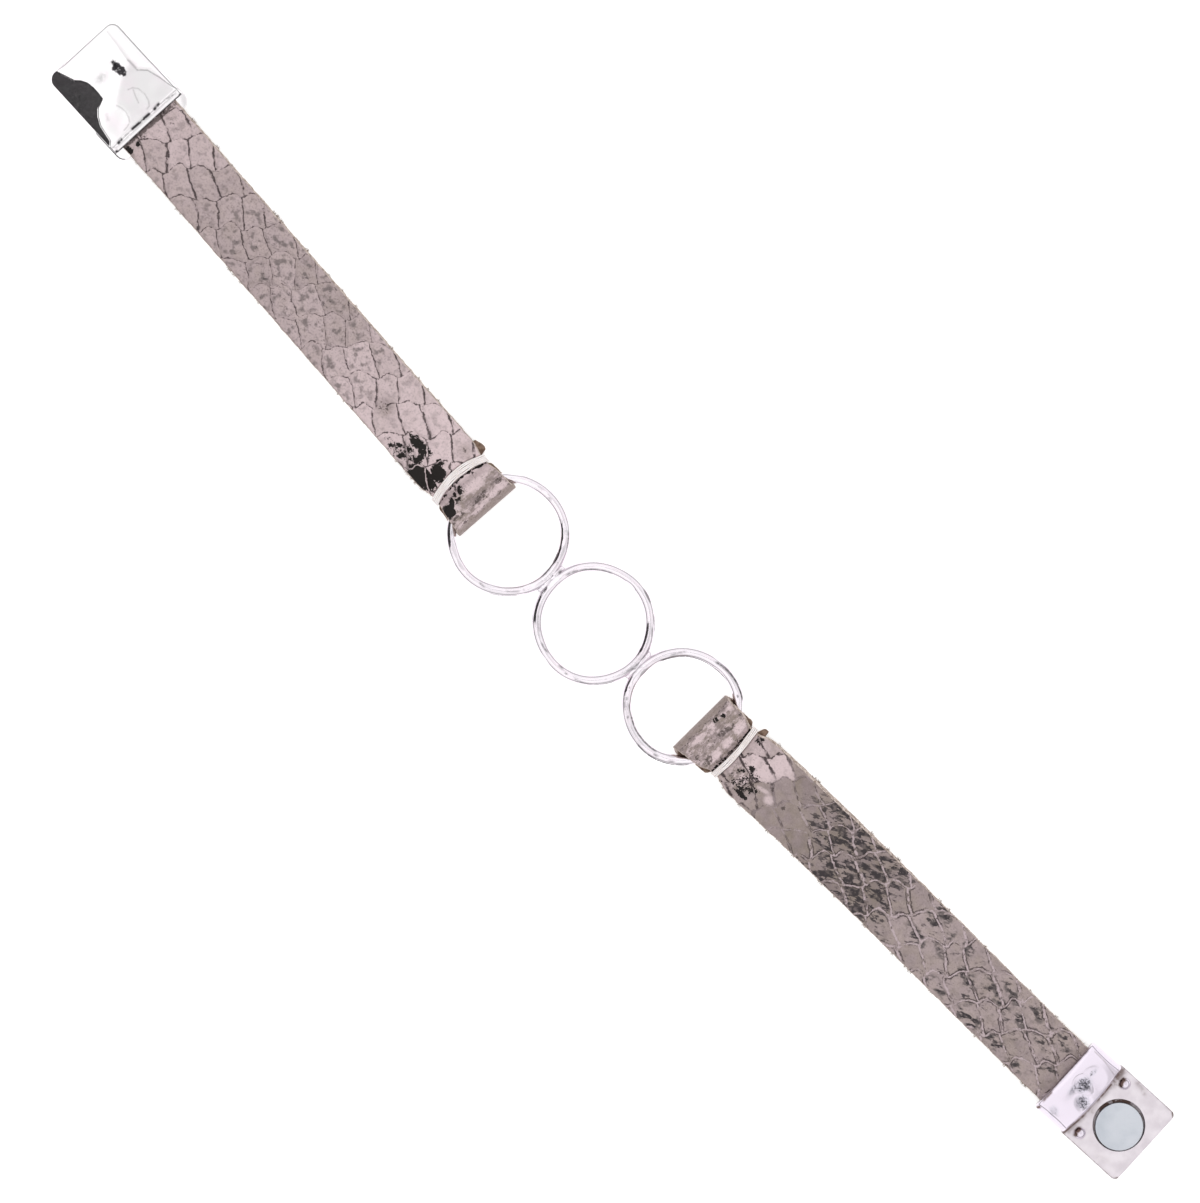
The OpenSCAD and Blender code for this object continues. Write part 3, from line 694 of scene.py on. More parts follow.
def right_tones(length, across, column, row):
    loop = 1 - ease(length, 8.4, 9.4)
    foil = np.interp(length, [10, 15, 18.5, 22, 26, 38, 41, 44, 60, 75],
                     [0.45, 0.40, 0.12, 0.15, 0.10, 0.03, 0.22, 0.30, 0.28, 0.30])
    foil = foil + 0.06 * by_chance(column, row, 4)
    foil = foil + patches(length, across, [
        [14.1, 1.0, 2.3, 1.6, 0, 0.95], [16.0, 3.3, 1.8, 1.7, 0, 1.0], [12.1, 2.9, 1.3, 1.5, 0, 0.8]])
    foil = by_scale(foil, column, row) + patches(length, across, [
        [17.9, -1.7, 0.8, 0.8, 0, 0.7], [16.4, -1.2, 1.2, 0.35, 10, 0.6], [13.2, -2.0, 0.8, 0.6, 0, 0.45]])
    in_loop = 0.36 + 0.75 * patches(length, across, [
        [4.9, -1.9, 0.5, 1.3, 0, 1], [4.85, 0.6, 0.4, 0.6, 0, 0.9], [4.9, 3.0, 0.35, 0.4, 0, 1],
        [8.1, 3.1, 1.0, 1.2, 0, 0.95], [8.2, 0.4, 0.8, 0.9, 0, 0.9], [8.2, -2.2, 0.6, 1.1, 0, 1],
        [4.9, 4.3, 0.5, 0.5, 0, 0.6]])
    foil = mix(foil, in_loop, loop)
    torn = patches(length, across, [
        [13.1, 0.0, 0.6, 0.5, 0, 0.9], [15.4, -2.1, 0.7, 0.55, 0, 0.85], [14.4, -3.75, 1.3, 0.5, 0, 0.75],
        [12.5, -3.1, 0.45, 0.45, 0, 0.85], [11.2, 3.7, 0.8, 1.0, 0, 0.6], [4.65, 1.7, 0.4, 0.5, 0, 1.0],
        [5.0, 2.9, 0.5, 0.4, 0, 0.7], [13.6, -2.0, 2.8, 2.6, 0, 0.40]])
    smear_and_shade = patches(length, across, [
        [6.8, 1.4, 0.5, 1.9, -8, 1.0], [7.8, -3.4, 0.7, 0.9, 0, 0.9], [6.5, -4.0, 0.5, 0.6, 0, 0.7],
        [6.6, 4.6, 0.3, 0.4, 0, 0.9], [13.0, -1.2, 1.6, 1.4, 0, 0.4], [20.1, -1.0, 0.5, 0.5, 0, 0.8],
        [5.4, -4.2, 0.5, 0.5, 0, 0.6]])
    smudges = patches(length, across, [
        [52.9, -4.0, 2.2, 1.1, 0, 0.85], [59.6, -3.9, 2.6, 1.2, 0, 0.95], [64.3, -3.7, 2.2, 1.2, 0, 0.9],
        [68.7, -3.9, 1.6, 0.8, 0, 0.7], [65.5, 0.8, 2.0, 0.8, -20, 1.0], [52.7, 3.0, 1.8, 0.9, -20, 0.85],
        [46.2, -0.8, 2.6, 1.1, -20, 0.9], [55.5, 0.0, 2.4, 1.0, -20, 0.9], [71.4, 3.2, 2.0, 0.9, -20, 0.75],
        [46.5, 4.2, 1.9, 0.9, -10, 1.0], [46.1, 2.4, 1.6, 0.9, -20, 0.9], [59.3, 1.3, 2.2, 0.9, -25, 0.8],
        [61.5, 2.9, 2.2, 0.8, -20, 0.75], [61.8, 0.7, 2.0, 0.9, -20, 0.85], [65.8, 3.5, 1.6, 0.9, -20, 0.85],
        [48.6, 3.4, 1.9, 0.8, -20, 0.6], [50.2, 0.2, 2.0, 0.8, -20, 0.65], [68.4, 1.2, 2.0, 0.8, -20, 0.7],
        [72.6, -0.6, 1.8, 0.8, -10, 0.6], [57.0, -1.8, 2.0, 0.8, -20, 0.6]])
    hatch = np.interp(length, [20, 24, 27, 38, 41, 44, 50, 72, 75],
                      [0, 0.5, 1, 1, 0.7, 0.30, 0.22, 0.28, 0.12])
    bare = patches(length, across, [[23.5, -3.2, 6.5, 2.6, 0, 1], [43, 2.5, 3.0, 2.5, 0, 0.8]])
    uneven = 0.22 * by_chance(column, row, 8) * ease(length, 22, 28) * (1 - ease(length, 42, 46))
    hatch = np.clip(np.maximum(hatch * (1 - 0.9 * bare) * (1 - loop) + uneven, 0.80 * smudges), 0, 1)
    smoke = np.interp(length, [10, 20, 44, 60], [0.3, 0.15, 0.25, 0.35]) + 2.4 * smudges
    light = np.interp(length, [9, 15, 18, 24, 28, 44, 50, 75], [0, 0, 0.5, 0.8, 1, 1.1, 1.15, 1.05])
    light = light * (1 - loop)
    dark = np.interp(length, [8.4, 10, 17, 20, 75], [0.1, 3.0, 2.6, 1, 1])
    pitting = np.interp(length, [8, 9.4, 10, 18, 24, 44], [1.8, 1.8, 0.8, 0.1, 0.3, 0.6])
    pitting = pitting + 1.2 * patches(length, across, [[13.6, -2.0, 3.4, 2.8, 0, 1]])
    return (foil, smoke, torn), (hatch, light, dark), (smear_and_shade, pitting)


def circle(sides):
    """Even angles round a circle."""
    return np.linspace(0, 2 * math.pi, sides, endpoint=False)


def edge_fibres(s, count, seed):
    """Fibres of the hide that stand out of the upper layer's cut edges, single and in tufts:
    spikes of four points, three round the root and the tip."""
    draw = np.random.default_rng(seed)
    rows = strap_stations(s)
    tufts, hairs = count // 8, 7
    place = draw.uniform(s.wrap + 1.5, s.run - 1.0, tufts).repeat(hairs)
    at = np.concatenate([draw.uniform(s.wrap + 0.8, s.run - 0.3, count),
                         place + draw.normal(0, 0.14, place.size)])
    hand = np.concatenate([draw.choice([-1.0, 1.0], count), draw.choice([-1.0, 1.0], tufts).repeat(hairs)])
    reach = np.concatenate([draw.uniform(0.15, 0.30, count), draw.uniform(0.30, 0.62, place.size)])
    deep = draw.uniform(0.15, 0.85, at.size)
    upper = rows.hide[:, 0] > s.wrap + 0.5

    def there(column):
        return np.interp(at, rows.hide[upper, 0], column[upper, 0])

    y = hand * there(rows.half)
    x, z = (mix(there(low), there(high), deep) for low, high in zip(rows.flesh, rows.grain))
    root = np.stack([x - y * there(rows.lean), y + there(rows.side), z], -1)
    swing, climb = draw.uniform(-1.0, 1.0, at.size), draw.uniform(-0.2, 0.25, at.size)
    way = np.stack([np.sin(swing), hand * np.cos(swing), climb], -1)
    level = np.stack([-way[:, 1], way[:, 0], 0 * at], -1)
    thick = draw.uniform(0.03, 0.07, at.size)[:, None]
    root = root - 0.1 * way
    ring = [root + thick * (math.cos(t) * level + math.sin(t) * np.array([0, 0, 1])) for t in circle(3)]
    return np.stack(ring + [root + way * reach[:, None]], 1), at, y


def make_strap(s, edge_inset, tones_of, seed):
    """The strap as one closed skin in its place, with its edge fibres."""
    form, facts = strap_surface(s, edge_inset)
    (length, across, _), (column, row, _) = (np.moveaxis(facts[key], -1, 0) for key in ("hide", "print"))
    tones, lines, (smear_and_shade, pitting) = tones_of(length, across, column, row)
    # Nothing is printed on the crest of the fold, which is rubbed to a plain band, and the
    # grain is creased where the thread draws it down on the ring's side, with painted shade in that crease
    crest = length - s.nose + 0.12 * np.sin(1.9 * across) + 0.08 * np.sin(4.3 * across + 1)
    smear_and_shade = np.maximum(smear_and_shade, 0.85 * hump(crest, 0.98, 0.12))
    # Painted shade in the crease beside the thread, given as torn foil so that it is near black
    pinched = length - s.arch * np.clip(1 - (across / (strap_w / 2)) ** 2, 0, 1) - s.wrap + s.wrap_w / 2
    tones = (*tones[:2], np.maximum(tones[2], 0.95 * hump(pinched, -0.24, 0.17)))
    wear = smear_and_shade, pitting, 1 - ease(crest, 0.72, 0.98)
    for key, values in (("tones", tones), ("lines", lines), ("wear", wear)):
        facts[key] = np.stack(np.broadcast_arrays(*values), -1)
    spikes, at, y = edge_fibres(s, 260, seed)
    corners = 4 * np.arange(at.size)[:, None, None] + np.array([[0, 2, 1], [0, 1, 3], [1, 2, 3], [2, 0, 3]])
    fibre_facts = np.zeros((4 * at.size, 3))
    facts = {key: np.concatenate([value.reshape(-1, 3), fibre_facts]) for key, value in facts.items()}
    facts["hide"][-4 * at.size:] = np.repeat(np.stack([at, y, 1.56 + 0 * at], -1), 4, axis=0)
    strap = make_mesh(s.name + "_leather", [skin(form), (spikes, corners.reshape(-1, 3).tolist())],
                      leather, s.centre, s.turn, 180, facts)
    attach(strap, "root")
    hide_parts(s.name)


make_strap(left, (lambda x: 0.10 + 0 * x, lambda x: 0.16 + 0.12 * ease(x, 14, 24)), left_tones, 31)
make_strap(right, (lambda x: 0.16 + 0.34 * hump(x, 24, 16), lambda x: 0.10 + 0 * x), right_tones, 32)


# White thread is wound round both layers of each loop behind the ring, a few turns side by
# side and pulled tight, so that the leather is pinched and bulges up between its edges.
def white_thread():
    """Soft spun cotton: cream, with painted shade in the grooves between the plies of the twist."""
    made, tree, surface = material("white_thread")
    _, deep, _ = three(tree, "twist")
    fuzz = noise(own_place(tree), 5000.0, 3.0)
    # Painted shade: the cotton is darker where the ply is thin, down in the grooves of the twist
    tone = mixed(fade(deep, 0.0, 1.0), "#E2D7D4", "#F9F3F2")
    tone = mixed(fade(fuzz, 0.35, 0.75, 0.0, 0.3), tone, "#E6DCD8")
    shader(surface, Base_Color=tone, Roughness=0.75, Normal=bumped(fuzz, 0.5, 0.00004),
           Subsurface_Weight=0.15, Subsurface_Radius=(0.0006, 0.0005, 0.0004), Subsurface_Scale=1.0)
    return made


thread_cotton = white_thread()


def tube_round(path, radius, sides):
    """Points of a tube along a closed path: circles square to it, kept level by the x axis."""
    way = np.roll(path, -1, 0) - np.roll(path, 1, 0)
    way /= np.linalg.norm(way, axis=1)[:, None]
    level = np.array([1.0, 0, 0]) - way * way[:, :1]
    level /= np.linalg.norm(level, axis=1)[:, None]
    b = circle(sides)[None, :, None]
    ring = np.cos(b) * level[:, None] + np.sin(b) * np.cross(way, level)[:, None]
    return path[:, None] + radius[..., None] * ring


def squared(wave, power):
    """A wave with its crests flattened by a power below 1."""
    return np.sign(wave) * abs(wave) ** power


def strand_path(s, place, seed, steps=300):
    """One turn of the thread round the two layers: a flat oval whose upper and lower sides are
    domed, at a place from 0 to 1 across the wrap."""
    w = half_w(s, s.wrap, 1) + wrap_gap + thread_r
    low = lift(s, s.wrap) + press(s, s.wrap) - wrap_gap - thread_r
    high = under_z(s, s.wrap, 0.3) + fold_t - press(s, s.wrap) + wrap_gap + thread_r
    a = np.linspace(0, 2 * math.pi, 1400)
    y = w * squared(np.cos(a), 0.28)
    z = mix(low, high, 0.5) + (high - low) / 2 * squared(np.sin(a), 0.28)
    run = np.concatenate([[0], np.cumsum(np.hypot(np.diff(y), np.diff(z)))])
    at = np.linspace(0, run[-1], steps, endpoint=False)
    y, z = np.interp(at, run, y), np.interp(at, run, z)
    bulge = 1 - (y / w) ** 2
    phase = np.random.default_rng(seed).uniform(0, 6, 2)
    turn = at / run[-1] * 2 * math.pi
    waver = 0.035 * np.sin(3 * turn + phase[0]) + 0.02 * np.sin(7 * turn + phase[1])
    x = s.wrap + (0.5 - place) * s.wrap_w + s.arch * np.maximum(0, bulge) - y * lean(s, s.wrap) + waver
    return np.stack([x, y + side(s, s.wrap), z + wrap_dome * bulge], -1), at


def make_wrap(s, node, sides=12):
    """The turns side by side, each a two-ply thread."""
    b = circle(sides)[None, :]
    turns, twist = [], []
    for i in range(s.strands):
        path, at = strand_path(s, (i + 0.5) / s.strands, 60 + i)
        ply = np.cos(2 * b + at[:, None] * 2.2)
        radius = 0.5 * (s.wrap_w / s.strands) * 1.06 * (1 + 0.05 * ply)
        turns.append(skin(tube_round(path, radius, sides), round_rows=True))
        twist.append(np.stack([at[:, None] + 0 * b, 0.5 + 0.5 * ply, 0 * ply], -1).reshape(-1, 3))
    wrap = make_mesh(s.name.replace("strap", "wrap") + "_thread", turns, thread_cotton, s.centre, s.turn,
                     facts={"twist": np.concatenate(twist)})
    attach(wrap, "root")
    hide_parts(node)


make_wrap(left, "left_thread_wrap")
make_wrap(right, "right_thread_wrap")


# Three rings of round silver wire, bent, soldered and lightly hammered, so that each is a
# little out of round and its wire has long soft flats. Solder fills the corners between them.
def silver_wear():
    """What bright silver plate shows close up, from a place in metres: a soft haze, an uneven
    polish and a fine unevenness of the surface."""
    group = bpy.data.node_groups.new("silver_wear", "ShaderNodeTree")
    group.interface.new_socket("Place", in_out="INPUT", socket_type="NodeSocketVector")
    for name in ("Haze", "Roughness", "Height"):
        group.interface.new_socket(name, in_out="OUTPUT", socket_type="NodeSocketFloat")
    place = Shade(group.nodes.new("NodeGroupInput").outputs["Place"])
    ends = group.nodes.new("NodeGroupOutput").inputs
    feed(ends["Haze"], fade(noise(place, 420.0, 4.0), 0.35, 0.75))
    feed(ends["Roughness"], fade(noise(place, 2600.0, 3.0), 0.3, 0.8, 0.07, 0.16))
    feed(ends["Height"], noise(place, 900.0, 2.0))
    return group


silver_wear_group = silver_wear()


def polished_silver(name, tint, haze_tint):
    """Bright silver plate, with tarnish, painted dark reflections and painted shade where the
    attribute marks says: soft and strong, and as fine specks."""
    made, tree, surface = material(name)
    wear = tree.nodes.new("ShaderNodeGroup")
    wear.node_tree = silver_wear_group
    place = own_place(tree)
    feed(wear.inputs["Place"], place)
    haze, roughness, height = (Shade(end) for end in wear.outputs)
    tarnish_and_painted_reflection, specks, _ = three(tree, "marks")
    breaks = noise(place, 2200.0, 3.0)
    # The first mark is tarnish with painted dark reflections and shade; the specks break up the cover's
    # painted dark reflection and dot the rings' joints
    tone = mixed(tarnish_and_painted_reflection * fade(breaks, 0.34, 0.50, 0.5, 1.0), mixed(haze, tint, haze_tint), "#383639")
    tone = mixed(specks * fade(breaks, 0.52, 0.60), tone, "#3C3A3D")
    shader(surface, Base_Color=tone, Metallic=1.0, Roughness=roughness, Normal=bumped(height, 0.25, 0.00002))
    return made


ring_silver = polished_silver("ring_silver", "#E6E0E6", "#EEE4EB")


def own_places(mesh, at=(0, 0), turn=0.0):
    """Every point of a mesh in mm, in the frame of a piece that stands at a place and turn."""
    flat = np.empty(len(mesh.vertices) * 3)
    mesh.vertices.foreach_get("co", flat)
    x, y, z = (flat.reshape(-1, 3) / MM).T
    return *turned(x - at[0], y - at[1], -turn), z


def lesser(a, b, soft):
    """The lesser of two surfaces, with the crease between them rounded."""
    share = np.clip(0.5 + 0.5 * (b - a) / soft, 0, 1)
    return mix(b, a, share) - soft * share * (1 - share)


def ring_surface(centre, size, axis, oval, seed, steps=480, sides=36):
    """A ring of wire: its radius waves round the ring, and each hammer blow has cut its wire
    off by a shallow cylinder across it."""
    a, b = circle(steps)[:, None], circle(sides)[None, :]
    turn = a - math.radians(axis)
    r = (size - wire_d) / 2 + oval / 2 * np.cos(2 * turn) + 0.04 * np.sin(5 * turn)
    w = (wire_d / 2 - 0.01) * (1 + 0.02 * np.cos(7 * turn)) + 0 * b
    draw = np.random.default_rng(seed)
    for place in np.arange(0, 2 * math.pi, 0.21):
        at = place + draw.uniform(-0.08, 0.08)
        face = draw.choice([60, 90, 115, 150, 25, 90, 270, 180, 0]) + draw.uniform(-14, 14)
        depth, bend = wire_d / 2 * draw.uniform(0.87, 0.97), draw.uniform(5, 13)
        along = r * (np.mod(a - at + math.pi, 2 * math.pi) - math.pi)
        facing = np.cos(b - math.radians(face))
        flat = np.where(facing > 0.2, (depth + along ** 2 / (2 * bend)) / np.maximum(facing, 0.2), 9.0)
        w = lesser(w, flat, 0.02)
    out = r + w * np.cos(b)
    return np.stack([centre[0] + out * np.cos(a), centre[1] + out * np.sin(a), wire_z + w * np.sin(b)], -1)


def solder_web(start, end, reach, seed, steps=44, sides=28):
    """Solder between two rings: rounded sections across the joint, as wide as the corner that
    they fill, and closed to a point at both ends."""
    way = (end - start) / np.linalg.norm(end - start)
    cross = np.array([-way[1], way[0]])
    t = np.sin(np.linspace(-math.pi / 2, math.pi / 2, steps))[:, None] * reach
    b = circle(sides)[None, :]
    wide = (0.42 + 8.0 - np.sqrt(64 - t ** 2)) * np.clip(1 - (abs(t) / reach) ** 3, 0, 1) ** 0.5
    high = 0.63 * np.clip(1 - (abs(t) / reach) ** 2.5, 0, 1)
    high = high * (1 - 0.25 * hump(t, 0, 0.5)) * (1 + 0.05 * np.sin(2.3 * t + seed))
    flat = (start + end) / 2 + t[..., None] * cross + (wide * squared(np.cos(b), 0.8))[..., None] * way
    return np.concatenate([flat, (wire_z + high * squared(np.sin(b), 0.8))[..., None]], -1)


grids = [ring_surface(ring_1, 17.5, 40, 0.05, 5), ring_surface(ring_2, 17.5, 130, 0.06, 9),
         ring_surface(ring_3, 17.0, 45, 0.24, 4)]
webs = [solder_web(ring_1, ring_2, 2.5, 0), solder_web(ring_2, ring_3, 2.5, 2)]
trio = make_mesh("ring_trio_silver", [skin(grid, round_rows=True) for grid in grids]
                 + [skin(web) for web in webs], ring_silver)


def ring_marks(grid, arcs):
    """Painted dark reflections beside the polished face of a ring, where the wire mirrors dark
    surroundings, at the points of its grid: rows of [first angle, last angle, angle round the wire
    at the first and at the last (0 outside, 90 top, 180 inside), spread, strength], in degrees."""
    a = np.degrees(circle(grid.shape[0]) - bracelet_turn)[:, None]
    b = np.degrees(circle(grid.shape[1]))[None, :]
    b = np.where(b > 270, b - 360, b)
    strongest = 0 * (a + b)
    for first, last, b_first, b_last, spread, strength in arcs:
        past_first = np.mod(a - first + 60, 360) - 60
        ends = ease(past_first, -2, 3) * (1 - ease(past_first, last - first - 3, last - first + 2))
        at = mix(b_first, b_last, np.clip(past_first / (last - first), 0, 1)) + 3 * np.sin(a / 7)
        strongest = np.maximum(strongest, strength * ends * hump(b, at, spread))
    return strongest.ravel()


ring_arcs = (
    [[171, 191, 36, 60, 11, 0.5], [-21, 8, 140, 158, 11, 0.2], [-51, -19, 134, 146, 12, 0.9],
     [-14, 4, 52, 55, 11, 0.65], [-31, -27, 92, 92, 11, 0.5], [-121, -114, 104, 84, 11, 0.7],
     [-93, -78, 88, 77, 13, 0.42], [-108, -81, 27, 20, 12, 0.65], [39, 43, 110, 110, 12, 0.9],
     [15, 17, 130, 130, 12, 0.7], [176, 180, 99, 99, 12, 0.65], [-35, 5, 80, 80, 28, 0.13],
     [-115, -80, 75, 75, 22, 0.10]],
    [[168, 181, 18, 24, 11, 0.6], [139, 169, 20, 18, 10, 0.35], [70, 120, 138, 108, 12, 0.65],
     [-8, 8, 22, 36, 11, 0.65], [-14, -4, 52, 68, 13, 0.6], [-39, -14, 138, 114, 10, 0.1],
     [-61, -23, 77, 38, 15, 0.6], [-110, -90, 80, 28, 12, 0.6], [-92, -70, 24, 30, 12, 0.7],
     [-160, -147, 100, 119, 11, 0.7], [-130, -124, 116, 116, 12, 0.7], [171, 189, 101, 108, 12, 0.4],
     [-45, 0, 100, 100, 30, 0.14], [160, 195, 95, 95, 26, 0.12]],
    [[78, 116, 158, 142, 14, 1.0], [30, 80, 168, 158, 15, 0.95], [28, 53, 60, 75, 13, 1.0],
     [6, 30, 30, 60, 14, 1.1], [-141, -126, 46, 30, 13, 0.9], [-128, -84, 28, 24, 15, 1.15],
     [177, 193, 118, 134, 12, 0.75], [190, 220, 132, 136, 13, 0.95], [218, 240, 136, 124, 13, 0.9],
     [166, 184, 56, 70, 15, 0.6], [86, 104, 88, 112, 14, 0.5], [-122, -116, 80, 80, 13, 0.7],
     [-105, -98, 70, 70, 12, 0.6], [-185, -135, 80, 80, 30, 0.16], [85, 125, 105, 105, 28, 0.12]])
px, py, pz = own_places(trio.data)
# Painted dark reflections along each ring's wire, then grey tarnish smears at the joints
tarnish_and_painted_reflection = np.concatenate([ring_marks(grid, arcs) for grid, arcs in zip(grids, ring_arcs)])
tarnish_and_painted_reflection = np.append(tarnish_and_painted_reflection, np.zeros(px.size - tarnish_and_painted_reflection.size))
joint = 0 * px
# Grey smears beside the two joints: [right, up, slant in degrees, length, width, strength]
for here, smears in (
        ((ring_1 + ring_2) / 2, [[1.25, 1.0, 40, 0.38, 0.2, 0.9]]),
        ((ring_2 + ring_3) / 2, [[-0.7, -0.56, 20, 0.5, 0.16, 0.8], [-1.8, -1.05, 30, 0.45, 0.35, 0.25]])):
    ahead, above = turned(px - here[0], py - here[1], -bracelet_turn)
    joint = np.maximum(joint, hump(np.hypot(ahead, above), 0, 1.3))
    for at_x, at_y, slant, long, wide, strength in smears:
        along, aside = turned(ahead - at_x, above - at_y, -math.radians(slant))
        tarnish_and_painted_reflection = np.maximum(tarnish_and_painted_reflection, strength * hump(along, 0, long) * hump(aside, 0, wide))
store(trio.data, "marks", tarnish_and_painted_reflection, 0.18 * joint, 0)
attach(trio, "root")
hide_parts("ring_trio")


# The cover half of the clasp is cast and hammered: a pillow with a socket for the strap in
# front, on a thin flange with round ears, and a hollow below for the plate half's magnet.
clasp_w, cover_l, lip_x, sockeedge_slant, ear_r = 12.7, 15.8, 1.5, 0.9, 1.4
slot_h, slot_w, seat_depth = strap_t + 2 * gap, strap_w + 0.5, 5.1
cover_under, cover_socket_l = 2.35, 6.0
cover_turn, plate_turn = math.radians(180 - 1.5), math.radians(3.7)
cover_at = ring_1 + 75.3 * np.array([-math.cos(math.radians(2.8)), math.sin(math.radians(2.8))])
plate_at = ring_3 + 74.6 * np.array([math.cos(math.radians(2.2)), math.sin(math.radians(2.2))])


def inset_from(dx, dy, r):
    """Distance inside a rounded corner, from the distances to its two straight sides."""
    corner = r - np.hypot(np.maximum(r - dx, 0), np.maximum(r - dy, 0))
    return np.where((dx < r) & (dy < r), corner, np.minimum(dx, dy))


def rounded(t):
    """Height of a quarter circle that rises from 0 at 0 and is level from 1 on."""
    return np.sqrt(np.clip(1 - (1 - np.clip(t, 0, 1)) ** 2, 0, 1))


def scoops(x, y, rows):
    """Depth of hammer dents: each a shallow round scoop [x, y, radius, depth] with a soft rim."""
    deepest = 0 * x
    for at_x, at_y, radius, depth in rows:
        bowl = depth * (1 - ((x - at_x) ** 2 + (y - at_y) ** 2) / radius ** 2)
        deepest = -lesser(-deepest, -bowl, 0.02)
    return deepest


def socket_grid(stations, half, top, bottom, slot_from):
    """A cast half as rings of points round its length: from the socket's back wall out through
    the socket to the mouth, and back over the outside to the far end."""
    low = np.linspace(-1, 1, 30, endpoint=False)
    rise = np.linspace(0, 1, 12, endpoint=False)
    over = np.sin(np.linspace(math.pi / 2, -math.pi / 2, 191))[:-1]
    across = np.concatenate([low, 1 + 0 * rise, over, -1 + 0 * rise])[None, :]
    share = np.concatenate([0 * low, rise, 1 + 0 * over, 1 - rise])[None, :]
    x = stations[:, None]
    y = across * half(x)
    outside = np.stack([x + 0 * y, y, mix(bottom(x, y), top(x, y), share)], -1)
    slot_x = np.array([[slot_from], [stations[0] + 0.12]])
    slot = np.stack(np.broadcast_arrays(slot_x, across * slot_w / 2, sockeedge_slant + share * slot_h), -1)
    mouth = mix(slot[-1], outside[0], 0.12)
    mouth[:, 0] = stations[0] + 0.02
    return capped(np.concatenate([slot, mouth[None], outside]))


cover_dents = [[5.2, 3.1, 1.9, 0.035], [5.1, -0.85, 1.6, 0.03], [6.2, 3.7, 0.7, 0.02], [13.2, 2.0, 1.3, 0.04],
               [13.2, -2.6, 1.5, 0.04], [4.4, -4.4, 1.2, 0.03]]
dark_flank = np.array([[1.6, 2.7, 2.85, 3.4, 5.8, 7.1, 7.9, 8.4, 10.4, 11.5, 12.4, 13.0, 15.0, 15.6],
                       [6.6, 6.6, 6.25, 5.7, 5.3, 4.65, 3.9, 2.5, 2.45, 2.6, 3.1, 3.75, 4.5, 4.7]])
pale_flank = np.array([[1.6, 2.0, 3.3, 5.25, 7.15, 8.2, 9.0, 10.0, 15.8],
                       [6.6, 6.45, 5.9, 5.5, 4.9, 3.9, 3.9, 3.86, 4.3]])


def cover_top(x, y):
    """Height of the cover: a slope up from the mouth to a low dome, with a flank that falls away
    beyond a crease on each side, rounded edges, dents, and a rim and a groove at the mouth."""
    slope = 3.42 + 0.175 * (x - 2.6) - y ** 2 / 260
    domed = 4.61 - (x - 11.6) ** 2 / 110 - 0.07 * (np.hypot(y + 2, 0.9) - 0.9)
    z = lesser(slope, domed, 0.12)
    out = y - 2.4
    flank = 4.17 + 0.05 * np.maximum(x - 8.4, 0) + 0.30 * hump(x, 6.2, 2.0) - 0.22 * out - 0.02 * out ** 2
    beyond = ease(y - np.interp(x, *dark_flank), -0.1, 0.1)
    z = mix(z, np.minimum(z, flank), beyond)
    out = -y - np.interp(x, *pale_flank)
    down = 0.5 * (out + np.hypot(out, 0.12))
    z = z - 0.19 * down - 0.03 * down ** 2
    inset = inset_from(cover_l - x, clasp_w / 2 - abs(y), ear_r)
    soft = mix(0.7, 0.16, ease(y, 3.0, 5.0))
    z = z - 0.8 * soft * (1 - rounded(inset / soft))
    z = z - scoops(x, y, cover_dents) * ease(inset, 0, 0.6) * (1 - beyond)
    z = z - 0.20 * np.maximum(2.4 - x, 0) - 0.10 * hump(x, 2.45, 0.16) * ease(clasp_w / 2 - abs(y), 0.2, 0.7)
    return np.minimum(z, mix(2.75, z, rounded((x - lip_x) / 0.3)))


def cover_bottom(x, y):
    """Underside: the table in front, then a step up, and a hollow between the walls."""
    z = np.where(x < cover_socket_l, 0.0, cover_under)
    inside = (x > 6.42) & (x < 15.38) & (abs(y) < 5.92)
    return np.where(inside, np.minimum(3.93, cover_top(x, y) - 0.3), z)


def cover_half_w(x):
    ear = ear_r * (1 - rounded((cover_l - x) / ear_r))
    return clasp_w / 2 - ear - 0.06 * (1 - ease(x, lip_x, lip_x + 0.3))


cover_stations = np.unique(np.round(np.concatenate([
    lip_x + 0.3 * (1 - np.cos(np.linspace(0, math.pi / 2, 9))), np.arange(1.88, 2.9, 0.05),
    np.arange(2.95, 5.98, 0.08), [5.995, 6.005], np.arange(6.08, 6.4, 0.08), [6.415, 6.425],
    np.arange(6.5, 14.3, 0.08), 14.4 + 1.4 * np.sin(np.linspace(0, math.pi / 2, 34)), [15.375, 15.385]]), 4))
cover_form = socket_grid(cover_stations, cover_half_w, cover_top, cover_bottom, seat_depth)


def corner_points(x0, x1, half, r0, r1):
    """A rectangle with rounded corners, counter-clockwise."""
    arcs = []
    for cx, cy, r, start in ((x0 + r0, -half + r0, r0, 180), (x1 - r1, -half + r1, r1, 270),
                             (x1 - r1, half - r1, r1, 0), (x0 + r0, half - r0, r0, 90)):
        a = np.radians(np.linspace(start, start + 90, 13))
        arcs.append(np.stack([cx + r * np.cos(a), cy + r * np.sin(a)], -1))
    return np.concatenate(arcs)


